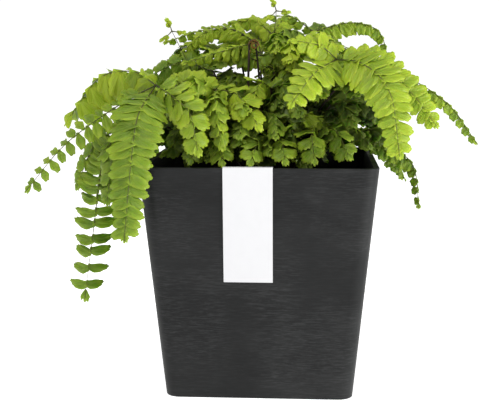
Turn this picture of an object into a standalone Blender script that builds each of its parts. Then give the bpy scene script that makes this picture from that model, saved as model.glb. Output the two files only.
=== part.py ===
"""Potted maidenhair fern in a square tapered planter.

Units are metres, +Z is up.  The origin is the middle of the planter's base, on the surface it
stands on.  +X is to the right and -Y is the front, where the card tag hangs over the rim.
Every frond is one closed body: a round stipe that forks into lobed leaf blades.
"""

import math

import bmesh
import bpy
from mathutils import Vector

COLLECTION_NAME = "potted_fern"
HELPER_NAME = "cutters"
TOUCH_GAP = 0.0003          # clearance between pieces that touch

# Planter: square, tapered, open at the top
POT_HEIGHT = 0.200
POT_TOP_WIDTH = 0.200
POT_BASE_WIDTH = 0.161
POT_WALL = 0.005
POT_FLOOR = 0.006
POT_CORNER_RADIUS = 0.013
POT_CORNER_SEGMENTS = 6
POT_EDGE_ROUND = 0.0012
DRAIN_CENTRE = (0.038, 0.038)
DRAIN_RADIUS = 0.006
PLUG_HEAD_RADIUS = 0.010
PLUG_HEAD_HEIGHT = 0.003
PLUG_SHANK_FOOT = 0.0015     # height of the shank's end above the base, clear of the surface
CUTTER_OVERSHOOT = 0.010     # how far a cutter runs past the surface it cuts

# Potting soil and the rhizome that lies on it
SOIL_EDGE_HEIGHT = 0.170
SOIL_MOUND_TAPER = 0.72
SOIL_MOUND_RISES = (0.0035, 0.0025)
RHIZOME_RADIUS = 0.036
RHIZOME_HEIGHT = 0.014

# Card tag folded over the front rim
CARD_WIDTH = 0.041
CARD_CENTRE_X = -0.008
CARD_DROP = 0.097
CARD_TUCK = 0.020
CARD_THICKNESS = 0.0005

# Fronds
STIPE_BASE_RADIUS = 0.0015
STIPE_FORK_RADIUS = 0.0011
STIPE_CLEARANCE = 0.0010     # from the rhizome's surface to the middle of a stipe's foot
STIPE_STATIONS = 6
FORK_RADIUS = 0.0019
FORK_HALF_HEIGHT = 0.0008
FORK_FACE_ANGLE = math.radians(50.0)
FORK_MIN_ANGLE = math.radians(60.0)
SPREAD_ROUNDS = 40
STIPE_CORNER = 0.75          # half a side of the square stipe, as a share of its radius
RIB_HALF_THICKNESS = 0.0007
RIB_START_RADIUS = 0.0009
BLADE_BARE_SHARE = 0.10      # share of a pinna next to the fork that carries no leaf
BLADE_WIDEST_AT = 0.28
BLADE_TIP_SHARE = 0.10       # width left at the tip, as a share of the widest
BLADE_CAMBER = 0.18          # how far the sides hang, as a share of the half width
NEIGHBOUR_SHARE = 0.46       # room that a blade takes of the way to its neighbour's rib
LOBE_DEPTH = 0.24
LOBE_LENGTH = 0.0155
MIN_LOBES = 3
MAX_LOBES = 6
OPEN_ROOM = 1.0              # room beside a pinna that has no neighbour on that side

# Unrolling young fronds and hair-thin new sprigs
CROZIER_STATIONS = 10
CROZIER_TURNS = 1.25
CROZIER_COIL_STEPS = 10
CROZIER_TIGHTENING = 0.72    # share of the coil's radius lost from its start to its end
CROZIER_LEAN_FORWARD = 0.0040
CROZIER_FOOT_RADIUS = 0.0012
CROZIER_END_RADIUS = 0.0007
SPRIG_THINNESS = 0.7
SPRIG_LEAF_WIDTH = 0.32      # half width of a sprig's leaf, as a share of its length
SPRIG_LEAVES = ((-1.0, 0.3), (1.0, 0.4), (0.15, 1.0))   # sideways and upward shares of each leaf

UP = Vector((0.0, 0.0, 1.0))


def clear_scene():
    """Remove whatever objects the open file holds."""
    for obj in list(bpy.data.objects):
        bpy.data.objects.remove(obj, do_unlink=True)


def make_collection(name):
    """Link a new collection to the scene."""
    collection = bpy.data.collections.new(name)
    bpy.context.scene.collection.children.link(collection)
    return collection


def make_material(name, color, roughness):
    """Principled material with one base colour."""
    material = bpy.data.materials.new(name)
    material.use_nodes = True
    shader = material.node_tree.nodes["Principled BSDF"]
    shader.inputs["Base Color"].default_value = (*color, 1.0)
    shader.inputs["Roughness"].default_value = roughness
    shader.inputs["Metallic"].default_value = 0.0
    material.diffuse_color = (*color, 1.0)
    return material


def add_object(name, mesh, collection, material=None):
    """Put a mesh in a collection as a named object."""
    obj = bpy.data.objects.new(name, mesh)
    if material is not None:
        mesh.materials.append(material)
    collection.objects.link(obj)
    return obj


def mesh_from(bm, name):
    """Turn a bmesh into a mesh with outward faces and free the bmesh."""
    bmesh.ops.recalc_face_normals(bm, faces=bm.faces[:])
    if bm.calc_volume(signed=True) < 0.0:
        bmesh.ops.reverse_faces(bm, faces=bm.faces[:])
    mesh = bpy.data.meshes.new(name)
    bm.to_mesh(mesh)
    bm.free()
    return mesh


def evaluated_mesh(obj):
    """Mesh of an object with its modifiers applied."""
    depsgraph = bpy.context.evaluated_depsgraph_get()
    return bpy.data.meshes.new_from_object(obj.evaluated_get(depsgraph))


def pot_width(height):
    """Outer width of the planter at a height above its base."""
    return POT_BASE_WIDTH + (POT_TOP_WIDTH - POT_BASE_WIDTH) * height / POT_HEIGHT


def tapered_block(bottom, top, inset, corner_radius):
    """Square block with rounded upright corners that follows the planter's taper."""
    bm = bmesh.new()
    bmesh.ops.create_cube(bm, size=2.0)
    for vert in bm.verts:
        height = top if vert.co.z > 0.0 else bottom
        half = pot_width(height) / 2.0 - inset
        vert.co = Vector((math.copysign(half, vert.co.x), math.copysign(half, vert.co.y), height))
    middle = (top + bottom) / 2.0
    uprights = [edge for edge in bm.edges
                if min(vert.co.z for vert in edge.verts) < middle < max(vert.co.z for vert in edge.verts)]
    bmesh.ops.bevel(bm, geom=uprights, offset=corner_radius, segments=POT_CORNER_SEGMENTS,
                    profile=0.5, affect='EDGES')
    return bm


def upright_cylinder(name, radius, bottom, top, centre, segments=32):
    """Closed cylinder standing on +Z."""
    bm = bmesh.new()
    bmesh.ops.create_cone(bm, cap_ends=True, segments=segments, radius1=radius, radius2=radius,
                          depth=top - bottom)
    bmesh.ops.translate(bm, verts=bm.verts[:], vec=(centre[0], centre[1], (top + bottom) / 2.0))
    return mesh_from(bm, name)


def mark_helper(obj):
    """Show an object as a wire helper that is no part of the model."""
    obj.hide_render = True
    obj.display_type = 'WIRE'


def build_planter(parts, helpers):
    """Tapered square pot: outer block, less its cavity and drain hole, with rounded edges."""
    outer = mesh_from(tapered_block(0.0, POT_HEIGHT, 0.0, POT_CORNER_RADIUS), "planter")
    material = make_material("recycled_plastic", (0.035, 0.036, 0.039), 0.65)
    planter = add_object("planter", outer, parts, material)

    inner_radius = POT_CORNER_RADIUS - POT_WALL
    cavity_block = tapered_block(POT_FLOOR, POT_HEIGHT + CUTTER_OVERSHOOT, POT_WALL, inner_radius)
    cavity = add_object("cavity_cutter", mesh_from(cavity_block, "cavity_cutter"), helpers)
    drain_mesh = upright_cylinder("drain_cutter", DRAIN_RADIUS, -CUTTER_OVERSHOOT,
                                  POT_FLOOR + CUTTER_OVERSHOOT, DRAIN_CENTRE)
    drain = add_object("drain_cutter", drain_mesh, helpers)
    for cutter in (cavity, drain):
        mark_helper(cutter)
        cut = planter.modifiers.new("cut_" + cutter.name, 'BOOLEAN')
        cut.operation = 'DIFFERENCE'
        cut.solver = 'EXACT'
        cut.object = cutter
    rounding = planter.modifiers.new("edge_round", 'BEVEL')
    rounding.width = POT_EDGE_ROUND
    rounding.segments = 2
    rounding.limit_method = 'ANGLE'
    rounding.angle_limit = math.radians(50.0)


def build_drain_plug(parts):
    """Push-in plug: a shank in the drain hole under a wider head inside the pot."""
    material = make_material("plug_rubber", (0.020, 0.020, 0.020), 0.8)
    bm = bmesh.new()
    shank = DRAIN_RADIUS - TOUCH_GAP
    lip = POT_FLOOR + TOUCH_GAP
    outline = [(0.0, lip + PLUG_HEAD_HEIGHT), (PLUG_HEAD_RADIUS, lip + PLUG_HEAD_HEIGHT),
               (PLUG_HEAD_RADIUS, lip), (shank, lip), (shank, PLUG_SHANK_FOOT), (0.0, PLUG_SHANK_FOOT)]
    verts = [bm.verts.new((radius, 0.0, height)) for radius, height in outline]
    for start, end in zip(verts, verts[1:]):
        bm.edges.new((start, end))
    mesh = bpy.data.meshes.new("drain_plug")
    bm.to_mesh(mesh)
    bm.free()
    plug = add_object("drain_plug", mesh, parts, material)
    plug.location = (DRAIN_CENTRE[0], DRAIN_CENTRE[1], 0.0)
    turn = plug.modifiers.new("turn", 'SCREW')
    turn.steps = 24
    turn.render_steps = 24
    turn.use_merge_vertices = True
    turn.merge_threshold = 0.00001


def soil_outline_block():
    """Block of soil that fills the pot, with a stepped mound on top."""
    bottom = POT_FLOOR + TOUCH_GAP
    inset = POT_WALL + TOUCH_GAP
    bm = tapered_block(bottom, SOIL_EDGE_HEIGHT, inset, POT_CORNER_RADIUS - inset)
    foot = [edge for edge in bm.edges if max(vert.co.z for vert in edge.verts) < bottom + TOUCH_GAP]
    bmesh.ops.bevel(bm, geom=foot, offset=2.0 * POT_EDGE_ROUND, segments=1, profile=0.5, affect='EDGES')
    top = max(bm.faces, key=lambda face: face.calc_center_median().z)
    for rise in SOIL_MOUND_RISES:
        raised = bmesh.ops.extrude_face_region(bm, geom=[top])["geom"]
        ring = [item for item in raised if isinstance(item, bmesh.types.BMVert)]
        bmesh.ops.scale(bm, verts=ring, vec=(SOIL_MOUND_TAPER, SOIL_MOUND_TAPER, 1.0))
        bmesh.ops.translate(bm, verts=ring, vec=(0.0, 0.0, rise))
        bmesh.ops.delete(bm, geom=[top], context='FACES_ONLY')
        top = next(item for item in raised if isinstance(item, bmesh.types.BMFace))
    return bm


def build_soil(parts, helpers):
    """Potting soil, hollowed where the plug's head stands in it."""
    material = make_material("potting_soil", (0.035, 0.022, 0.014), 0.95)
    soil = add_object("potting_soil", mesh_from(soil_outline_block(), "potting_soil"), parts, material)
    pocket_top = POT_FLOOR + PLUG_HEAD_HEIGHT + 2.0 * TOUCH_GAP
    pocket_mesh = upright_cylinder("plug_pocket", PLUG_HEAD_RADIUS + TOUCH_GAP, -CUTTER_OVERSHOOT,
                                   pocket_top, DRAIN_CENTRE)
    pocket = add_object("plug_pocket", pocket_mesh, helpers)
    mark_helper(pocket)
    cut = soil.modifiers.new("plug_pocket", 'BOOLEAN')
    cut.operation = 'DIFFERENCE'
    cut.solver = 'EXACT'
    cut.object = pocket


def soil_top():
    """Height of the middle of the soil mound."""
    return SOIL_EDGE_HEIGHT + sum(SOIL_MOUND_RISES)


def rhizome_surface(radius):
    """Height of the rhizome's domed surface at a distance from the middle."""
    share = min(radius / RHIZOME_RADIUS, 1.0)
    return soil_top() + RHIZOME_HEIGHT * math.sqrt(1.0 - share * share)


def build_rhizome(parts):
    """Low domed crown that the stipes rise from."""
    material = make_material("rhizome", (0.045, 0.024, 0.012), 0.9)
    bm = bmesh.new()
    bmesh.ops.create_uvsphere(bm, u_segments=20, v_segments=10, radius=RHIZOME_RADIUS)
    bmesh.ops.scale(bm, verts=bm.verts[:], vec=(1.0, 1.0, RHIZOME_HEIGHT / RHIZOME_RADIUS))
    everything = bm.verts[:] + bm.edges[:] + bm.faces[:]
    bmesh.ops.bisect_plane(bm, geom=everything, plane_co=(0.0, 0.0, TOUCH_GAP),
                           plane_no=(0.0, 0.0, 1.0), clear_inner=True)
    rim = [edge for edge in bm.edges if edge.is_boundary]
    bmesh.ops.holes_fill(bm, edges=rim)
    bmesh.ops.translate(bm, verts=bm.verts[:], vec=(0.0, 0.0, soil_top()))
    add_object("rhizome", mesh_from(bm, "rhizome"), parts, material)


def build_label_card(parts):
    """Blank card tag, folded over the front rim and tucked inside."""
    material = make_material("label_card", (0.85, 0.85, 0.84), 0.7)
    clearance = TOUCH_GAP + CARD_THICKNESS / 2.0
    slope = (POT_TOP_WIDTH - POT_BASE_WIDTH) / 2.0 / POT_HEIGHT
    over = POT_HEIGHT + clearance
    outside = POT_TOP_WIDTH / 2.0 + clearance
    inside = POT_TOP_WIDTH / 2.0 - POT_WALL - clearance
    profile = [(-outside + slope * CARD_DROP, over - CARD_DROP), (-outside, over),
               (-inside, over), (-inside + slope * CARD_TUCK, over - CARD_TUCK)]
    bm = bmesh.new()
    left = CARD_CENTRE_X - CARD_WIDTH / 2.0
    verts = [bm.verts.new((left, y, z)) for y, z in profile]
    edges = [bm.edges.new(pair) for pair in zip(verts, verts[1:])]
    swept = bmesh.ops.extrude_edge_only(bm, edges=edges)
    moved = [item for item in swept["geom"] if isinstance(item, bmesh.types.BMVert)]
    bmesh.ops.translate(bm, verts=moved, vec=(CARD_WIDTH, 0.0, 0.0))
    card = add_object("label_card", mesh_from(bm, "label_card"), parts, material)
    sheet = card.modifiers.new("card_thickness", 'SOLIDIFY')
    sheet.thickness = CARD_THICKNESS
    sheet.offset = 0.0
    sheet.use_even_offset = True


def smooth_path(points, count):
    """Evenly numbered stations on a Catmull-Rom curve through the given points."""
    knots = [Vector(point) for point in points]
    padded = [2.0 * knots[0] - knots[1]] + knots + [2.0 * knots[-1] - knots[-2]]
    spans = len(knots) - 1
    path = []
    for index in range(count):
        place = spans * index / (count - 1)
        span = min(int(place), spans - 1)
        share = place - span
        before, start, end, after = padded[span:span + 4]
        path.append(0.5 * (2.0 * start + (end - before) * share
                           + (2.0 * before - 5.0 * start + 4.0 * end - after) * share ** 2
                           + (3.0 * start - before - 3.0 * end + after) * share ** 3))
    return path


def blade_width_share(share):
    """Half width of a leaf blade along its length, from 0 at the fork to 1 at the tip."""
    if share < BLADE_BARE_SHARE:
        return 0.0
    if share < BLADE_WIDEST_AT:
        rise = (share - BLADE_BARE_SHARE) / (BLADE_WIDEST_AT - BLADE_BARE_SHARE)
        return math.sin(rise * math.pi / 2.0)
    fall = (share - BLADE_WIDEST_AT) / (1.0 - BLADE_WIDEST_AT)
    return 1.0 - (1.0 - BLADE_TIP_SHARE) * fall ** 1.3


def ring_normal(ring):
    """Direction a ring of vertices turns around, from its corners in order."""
    total = Vector((0.0, 0.0, 0.0))
    middle = sum((vert.co for vert in ring), Vector()) / len(ring)
    for vert, follow in zip(ring, ring[1:] + ring[:1]):
        total += (vert.co - middle).cross(follow.co - middle)
    return total.normalized()


def loft(bm, start, end):
    """Faces between two rings with the same number of vertices."""
    for corner in range(len(start)):
        follow = (corner + 1) % len(start)
        bm.faces.new((start[corner], start[follow], end[follow], end[corner]))


def aligned(ring, reference):
    """Corners of a ring, turned the same way as the reference ring and with the least twist to it."""
    if ring_normal(ring).dot(ring_normal(reference)) < 0.0:
        ring = ring[::-1]
    turns = [ring[shift:] + ring[:shift] for shift in range(len(ring))]
    return min(turns, key=lambda turn: sum((a.co - b.co).length for a, b in zip(turn, reference)))


def pinna_path(fork, points):
    """Stations along a pinna's rib, two for each lobe, from the fork to the tip."""
    route = [fork] + [Vector(point) for point in points]
    length = sum((end - start).length for start, end in zip(route, route[1:]))
    lobes = max(MIN_LOBES, min(MAX_LOBES, round(length / LOBE_LENGTH)))
    return smooth_path(route, 2 * lobes + 1)


def room_beside(place, side, neighbours):
    """Distance to the nearest rib of a neighbouring pinna on one side of a place."""
    offsets = [point - place for path in neighbours for point in path]
    distances = [offset.length for offset in offsets if offset.dot(side) > 0.0]
    return min(distances, default=OPEN_ROOM)


def grow_pinna(bm, root_ring, path, neighbours, half_width, facing):
    """Leaf blade lofted out of a face of the fork: a thin rib that widens to a lobed, pointed blade."""
    last = len(path) - 1
    ring = root_ring
    for index in range(1, last + 1):
        tangent = (path[min(index + 1, last)] - path[index - 1]).normalized()
        side = tangent.cross(Vector(facing)).normalized()
        normal = side.cross(tangent).normalized()
        notch = 1.0 if index % 2 else 1.0 - LOBE_DEPTH
        wanted = half_width * blade_width_share(index / last) * notch
        edges = []
        for way in (side, -side):
            free = NEIGHBOUR_SHARE * room_beside(path[index], way, neighbours)
            reach = max(min(wanted, free), RIB_START_RADIUS)
            hang = BLADE_CAMBER * (reach - RIB_START_RADIUS)
            edges.append(path[index] + way * reach - normal * hang)
        thickness = normal * RIB_HALF_THICKNESS
        corners = [edges[0], path[index] + thickness, edges[1], path[index] - thickness]
        following = aligned([bm.verts.new(corner) for corner in corners], ring)
        loft(bm, ring, following)
        ring = following
    bm.faces.new(ring)


def spread_headings(headings):
    """Angles at which branches leave the fork, kept apart, in order around it."""
    order = sorted(range(len(headings)), key=lambda index: headings[index])
    angles = [headings[index] for index in order]
    for _ in range(SPREAD_ROUNDS):
        for index in range(len(angles)):
            follow = (index + 1) % len(angles)
            turn = 2.0 * math.pi if follow == 0 else 0.0
            short = FORK_MIN_ANGLE - (angles[follow] + turn - angles[index])
            if short > 0.0:
                angles[index] -= short / 2.0
                angles[follow] += short / 2.0
    return order, angles


def frond_mesh(name, path, radii, pinnae):
    """Closed frond: a flat fork with one side face for the stipe and one for each pinna."""
    fork = path[-1]
    ribs = [pinna_path(fork, points) for points, _, _ in pinnae]
    outward = sum(((rib[1] - fork).normalized() for rib in ribs), Vector()).normalized()
    back = (path[-2] - fork).normalized()
    facing = sum((Vector(look) for _, _, look in pinnae), Vector()).normalized()
    across = outward.cross(facing).normalized()
    forward = (outward - back).normalized()
    forward = (forward - across * forward.dot(across)).normalized()
    normal = across.cross(forward).normalized()
    leaving = [rib[1] - fork for rib in ribs] + [back]
    headings = [math.atan2(way.dot(across), -way.dot(forward)) % (2.0 * math.pi)
                for way in leaving[:-1]]
    headings.append(0.0)
    order, angles = spread_headings(headings)

    bm = bmesh.new()
    levels = []
    for height in (-FORK_HALF_HEIGHT, FORK_HALF_HEIGHT):
        level = []
        for angle in angles:
            for turn in (angle - FORK_FACE_ANGLE / 2.0, angle + FORK_FACE_ANGLE / 2.0):
                spoke = across * math.sin(turn) - forward * math.cos(turn)
                level.append(bm.verts.new(fork + FORK_RADIUS * spoke + height * normal))
        levels.append(level)
    lower, upper = levels
    bm.faces.new(lower[::-1])
    bm.faces.new(upper)
    for slot, index in enumerate(order):
        left, right = 2 * slot, 2 * slot + 1
        follow = (right + 1) % len(lower)
        bm.faces.new((lower[right], lower[follow], upper[follow], upper[right]))
        side_face = [lower[left], lower[right], upper[right], upper[left]]
        if index == len(ribs):
            grow_stipe(bm, side_face, path, radii)
        else:
            _, half_width, look = pinnae[index]
            neighbours = [rib[1:] for other, rib in enumerate(ribs) if other != index]
            grow_pinna(bm, side_face, ribs[index], neighbours, half_width, look)
    return mesh_from(bm, name)


def grow_stipe(bm, root_ring, path, radii):
    """Square-sectioned stipe lofted out of the fork, down to its foot."""
    ring = root_ring
    first = (root_ring[1].co - root_ring[0].co).normalized()
    for index in range(len(path) - 2, -1, -1):
        downward = (path[max(index - 1, 0)] - path[index + 1]).normalized()
        first = (first - downward * first.dot(downward)).normalized()
        second = downward.cross(first)
        spokes = (-first - second, first - second, first + second, -first + second)
        half_side = radii[index] * STIPE_CORNER
        following = [bm.verts.new(path[index] + spoke * half_side) for spoke in spokes]
        following = aligned(following, ring)
        loft(bm, ring, following)
        ring = following
    bm.faces.new(ring)


def tube_object(name, path, radii, collection, resolution=1):
    """Round rod along a path, as a closed mesh object."""
    curve = bpy.data.curves.new(name, 'CURVE')
    curve.dimensions = '3D'
    curve.bevel_depth = 1.0
    curve.bevel_resolution = resolution
    curve.use_fill_caps = True
    spline = curve.splines.new('POLY')
    spline.points.add(len(path) - 1)
    for point, place, radius in zip(spline.points, path, radii):
        point.co = (*place, 1.0)
        point.radius = radius
    rod = bpy.data.objects.new(name + "_curve", curve)
    collection.objects.link(rod)
    bm = bmesh.new()
    bm.from_mesh(evaluated_mesh(rod))
    bmesh.ops.remove_doubles(bm, verts=bm.verts[:], dist=0.00001)
    bpy.data.objects.remove(rod, do_unlink=True)
    bpy.data.curves.remove(curve)
    return add_object(name, mesh_from(bm, name), collection)


def stipe_route(root, knots):
    """Stipe points from its foot on the rhizome through the given knots."""
    angle, radius = math.radians(root[0]), root[1]
    foot = Vector((radius * math.cos(angle), radius * math.sin(angle), rhizome_surface(radius)))
    lifted = foot + UP * STIPE_CLEARANCE
    return [lifted] + [Vector(knot) for knot in knots]


def build_frond(name, root, knots, pinnae, parts, material, thin=1.0):
    """One frond: a stipe from the rhizome to its fork, and the leaf blades that spread from it."""
    path = smooth_path(stipe_route(root, knots), STIPE_STATIONS)
    step = (STIPE_FORK_RADIUS - STIPE_BASE_RADIUS) / (STIPE_STATIONS - 1)
    radii = [thin * (STIPE_BASE_RADIUS + step * index) for index in range(STIPE_STATIONS)]
    add_object(name, frond_mesh(name, path, radii, pinnae), parts, material)


# Ways that the upper face of a leaf blade looks
FRONT = (0.0, -0.6, 1.0)
FRONT_LEFT = (-0.45, -0.8, 0.8)
FRONT_RIGHT = (0.4, -0.7, 0.9)
ABOVE = (0.0, -0.35, 1.0)
LEFT_ABOVE = (-0.5, -0.6, 1.0)
RIGHT_ABOVE = (0.5, -0.6, 1.0)

# Each row: name, (root angle in degrees, root radius), stipe knots up to the fork, and for each
# pinna the points from the fork to the tip, its half width, and the way its upper face looks.
SHOWN_FRONDS = [
    ("frond_left_front", (205.0, 0.026),
     [(-0.050, -0.036, 0.240), (-0.088, -0.062, 0.266)],
     [([(-0.098, -0.096, 0.242), (-0.101, -0.117, 0.204), (-0.106, -0.125, 0.143)], 0.023, FRONT),
      ([(-0.070, -0.084, 0.257), (-0.055, -0.099, 0.244), (-0.048, -0.106, 0.215)], 0.017, FRONT),
      ([(-0.116, -0.070, 0.251), (-0.166, -0.062, 0.216), (-0.205, -0.052, 0.173)], 0.013, LEFT_ABOVE),
      ([(-0.108, -0.050, 0.277), (-0.140, -0.036, 0.272), (-0.169, -0.030, 0.238)], 0.016, LEFT_ABOVE)]),
    ("frond_left_low", (185.0, 0.034),
     [(-0.078, -0.026, 0.226), (-0.120, -0.036, 0.228)],
     [([(-0.137, -0.044, 0.202), (-0.146, -0.050, 0.140), (-0.155, -0.050, 0.078)], 0.018, FRONT_LEFT),
      ([(-0.146, -0.034, 0.214), (-0.164, -0.030, 0.176)], 0.011, LEFT_ABOVE),
      ([(-0.124, -0.064, 0.216), (-0.128, -0.078, 0.170)], 0.011, FRONT_LEFT)]),
    ("frond_centre_left", (235.0, 0.016),
     [(-0.024, -0.036, 0.236), (-0.038, -0.048, 0.262)],
     [([(-0.018, -0.066, 0.258), (-0.001, -0.080, 0.234)], 0.013, FRONT),
      ([(-0.036, -0.076, 0.252), (-0.030, -0.090, 0.218)], 0.012, FRONT),
      ([(-0.060, -0.040, 0.270), (-0.082, -0.026, 0.262)], 0.012, ABOVE)]),
    ("frond_top_left", (120.0, 0.006),
     [(-0.004, 0.010, 0.262), (-0.008, 0.016, 0.302)],
     [([(-0.030, 0.019, 0.314), (-0.056, 0.021, 0.310), (-0.082, 0.022, 0.286)], 0.012, FRONT),
      ([(-0.030, -0.006, 0.296), (-0.070, -0.014, 0.284)], 0.011, ABOVE),
      ([(-0.042, 0.036, 0.316), (-0.094, 0.036, 0.302)], 0.013, ABOVE)]),
    ("frond_right_front", (310.0, 0.020),
     [(0.022, -0.042, 0.226), (0.064, -0.062, 0.288)],
     [([(0.050, -0.070, 0.299), (0.031, -0.076, 0.303)], 0.010, FRONT),
      ([(0.046, -0.090, 0.277), (0.028, -0.108, 0.254)], 0.017, FRONT),
      ([(0.086, -0.084, 0.284), (0.106, -0.104, 0.262), (0.114, -0.116, 0.212)], 0.020, FRONT_RIGHT),
      ([(0.096, -0.066, 0.284), (0.124, -0.074, 0.262), (0.146, -0.080, 0.234)], 0.012, RIGHT_ABOVE)]),
    ("frond_right_far", (345.0, 0.026),
     [(0.052, -0.016, 0.246), (0.086, -0.024, 0.282)],
     [([(0.118, -0.026, 0.276), (0.160, -0.030, 0.250), (0.187, -0.034, 0.214)], 0.007, RIGHT_ABOVE),
      ([(0.112, -0.004, 0.274), (0.138, 0.010, 0.246)], 0.012, RIGHT_ABOVE)]),
    ("frond_top_right", (40.0, 0.008),
     [(0.020, 0.020, 0.266), (0.044, 0.034, 0.312)],
     [([(0.078, 0.040, 0.320), (0.104, 0.040, 0.312), (0.114, 0.037, 0.284)], 0.012, FRONT),
      ([(0.024, 0.022, 0.325), (0.002, 0.016, 0.324)], 0.009, FRONT),
      ([(0.056, 0.062, 0.316), (0.076, 0.086, 0.292)], 0.013, RIGHT_ABOVE)]),
    ("frond_right_low", (350.0, 0.034),
     [(0.058, -0.014, 0.212), (0.080, -0.022, 0.222)],
     [([(0.108, -0.024, 0.213), (0.132, -0.026, 0.196), (0.138, -0.028, 0.158)], 0.010, FRONT_RIGHT),
      ([(0.104, -0.002, 0.214), (0.124, 0.006, 0.184)], 0.010, RIGHT_ABOVE)]),
    ("frond_front_left", (250.0, 0.030),
     [(-0.026, -0.036, 0.204), (-0.036, -0.044, 0.222)],
     [([(-0.048, -0.064, 0.222), (-0.056, -0.084, 0.206)], 0.012, FRONT),
      ([(-0.032, -0.068, 0.221), (-0.030, -0.088, 0.205)], 0.011, FRONT),
      ([(-0.060, -0.050, 0.222), (-0.082, -0.056, 0.208)], 0.011, ABOVE)]),
    ("frond_front", (275.0, 0.030),
     [(0.006, -0.038, 0.206), (0.010, -0.044, 0.222)],
     [([(0.000, -0.068, 0.220), (-0.006, -0.087, 0.205)], 0.012, FRONT),
      ([(0.018, -0.070, 0.222), (0.022, -0.088, 0.206)], 0.011, FRONT)]),
    ("frond_front_right", (305.0, 0.032),
     [(0.034, -0.034, 0.210), (0.048, -0.042, 0.230)],
     [([(0.044, -0.068, 0.226), (0.046, -0.088, 0.207)], 0.012, FRONT),
      ([(0.064, -0.062, 0.228), (0.074, -0.084, 0.210)], 0.012, FRONT_RIGHT),
      ([(0.074, -0.044, 0.234), (0.092, -0.052, 0.216)], 0.011, RIGHT_ABOVE)]),
    ("frond_centre", (290.0, 0.010),
     [(0.006, -0.016, 0.236), (0.008, -0.024, 0.262)],
     [([(0.000, -0.044, 0.268), (-0.006, -0.060, 0.258)], 0.012, FRONT),
      ([(0.022, -0.046, 0.264), (0.034, -0.070, 0.244)], 0.012, FRONT),
      ([(0.024, -0.014, 0.276), (0.040, -0.010, 0.278)], 0.011, ABOVE)]),
    ("frond_centre_right", (330.0, 0.016),
     [(0.030, -0.002, 0.244), (0.050, -0.004, 0.276)],
     [([(0.066, -0.026, 0.280), (0.078, -0.046, 0.266)], 0.012, FRONT_RIGHT),
      ([(0.078, 0.004, 0.288), (0.102, 0.010, 0.276)], 0.013, RIGHT_ABOVE),
      ([(0.052, -0.024, 0.286), (0.048, -0.042, 0.276)], 0.011, FRONT)]),
    ("frond_right", (5.0, 0.030),
     [(0.056, 0.006, 0.226), (0.076, 0.008, 0.242)],
     [([(0.104, -0.012, 0.240), (0.124, -0.016, 0.216)], 0.012, RIGHT_ABOVE),
      ([(0.106, 0.014, 0.242), (0.126, 0.018, 0.212)], 0.011, RIGHT_ABOVE)]),
    ("frond_inner_right", (340.0, 0.022),
     [(0.042, -0.018, 0.226), (0.060, -0.033, 0.248)],
     [([(0.070, -0.052, 0.250), (0.078, -0.070, 0.236)], 0.012, FRONT),
      ([(0.084, -0.042, 0.250), (0.106, -0.048, 0.238)], 0.012, RIGHT_ABOVE)]),
    ("frond_left", (178.0, 0.034),
     [(-0.056, -0.002, 0.208), (-0.072, -0.002, 0.223)],
     [([(-0.104, 0.003, 0.228), (-0.134, 0.004, 0.202)], 0.009, LEFT_ABOVE),
      ([(-0.100, -0.015, 0.220), (-0.116, -0.016, 0.192)], 0.008, LEFT_ABOVE)]),
    ("frond_upper_left", (165.0, 0.014),
     [(-0.030, 0.006, 0.244), (-0.046, 0.012, 0.276)],
     [([(-0.076, 0.012, 0.284), (-0.110, 0.012, 0.268)], 0.012, LEFT_ABOVE),
      ([(-0.066, 0.030, 0.286), (-0.082, 0.044, 0.277)], 0.012, ABOVE)]),
    ("frond_inner_left", (205.0, 0.018),
     [(-0.036, -0.012, 0.226), (-0.056, -0.018, 0.242)],
     [([(-0.084, -0.024, 0.244), (-0.112, -0.030, 0.238)], 0.010, LEFT_ABOVE),
      ([(-0.066, -0.038, 0.234), (-0.076, -0.056, 0.218)], 0.010, FRONT)]),
    ("frond_inner_front", (265.0, 0.018),
     [(0.000, -0.022, 0.222), (-0.002, -0.036, 0.240)],
     [([(-0.012, -0.056, 0.240), (-0.016, -0.076, 0.226)], 0.012, FRONT),
      ([(0.012, -0.060, 0.240), (0.014, -0.080, 0.226)], 0.012, FRONT)]),
    ("frond_top", (40.0, 0.015),
     [(0.022, 0.008, 0.262), (0.026, 0.004, 0.296)],
     [([(0.044, -0.002, 0.306), (0.066, -0.006, 0.298)], 0.012, FRONT),
      ([(0.026, -0.016, 0.302), (0.024, -0.036, 0.288)], 0.011, FRONT)]),
    ("frond_top_rear", (85.0, 0.010),
     [(0.006, 0.021, 0.276), (0.006, 0.032, 0.310)],
     [([(-0.012, 0.054, 0.323), (-0.034, 0.064, 0.320)], 0.012, ABOVE),
      ([(0.018, 0.062, 0.325), (0.026, 0.088, 0.320)], 0.012, ABOVE)]),
]

# Tiers of fronds on the sides and back, from the outside in.  Knee, fork and bend are
# (distance from the axis, height); the bend's and the tip's distances are measured from the rim,
# and at a corner of the planter the rim counts as no further out than rim_limit.
# Every second frond of a tier stands a little higher and reaches a little further.
INNER_RIM_LIMIT = 1.25 * POT_TOP_WIDTH / 2.0
TIERS = {
    "outer": {"root": 0.033, "knee": (0.052, 0.208), "fork": (0.070, 0.220), "bend": (0.003, 0.217),
              "tip": (0.030, 0.178), "half_width": 0.013, "spread": 15.0,
              "rim_limit": POT_TOP_WIDTH},
    "middle": {"root": 0.025, "knee": (0.038, 0.226), "fork": (0.056, 0.248), "bend": (-0.012, 0.254),
               "tip": (0.026, 0.222), "half_width": 0.014, "spread": 15.0,
               "rim_limit": INNER_RIM_LIMIT},
    "inner": {"root": 0.015, "knee": (0.018, 0.240), "fork": (0.030, 0.282), "bend": (-0.038, 0.302),
              "tip": (-0.002, 0.280), "half_width": 0.013, "spread": 17.0,
              "rim_limit": INNER_RIM_LIMIT},
}
HIGHER_FROND = {"raise": 0.010, "further": 0.008}

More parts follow.
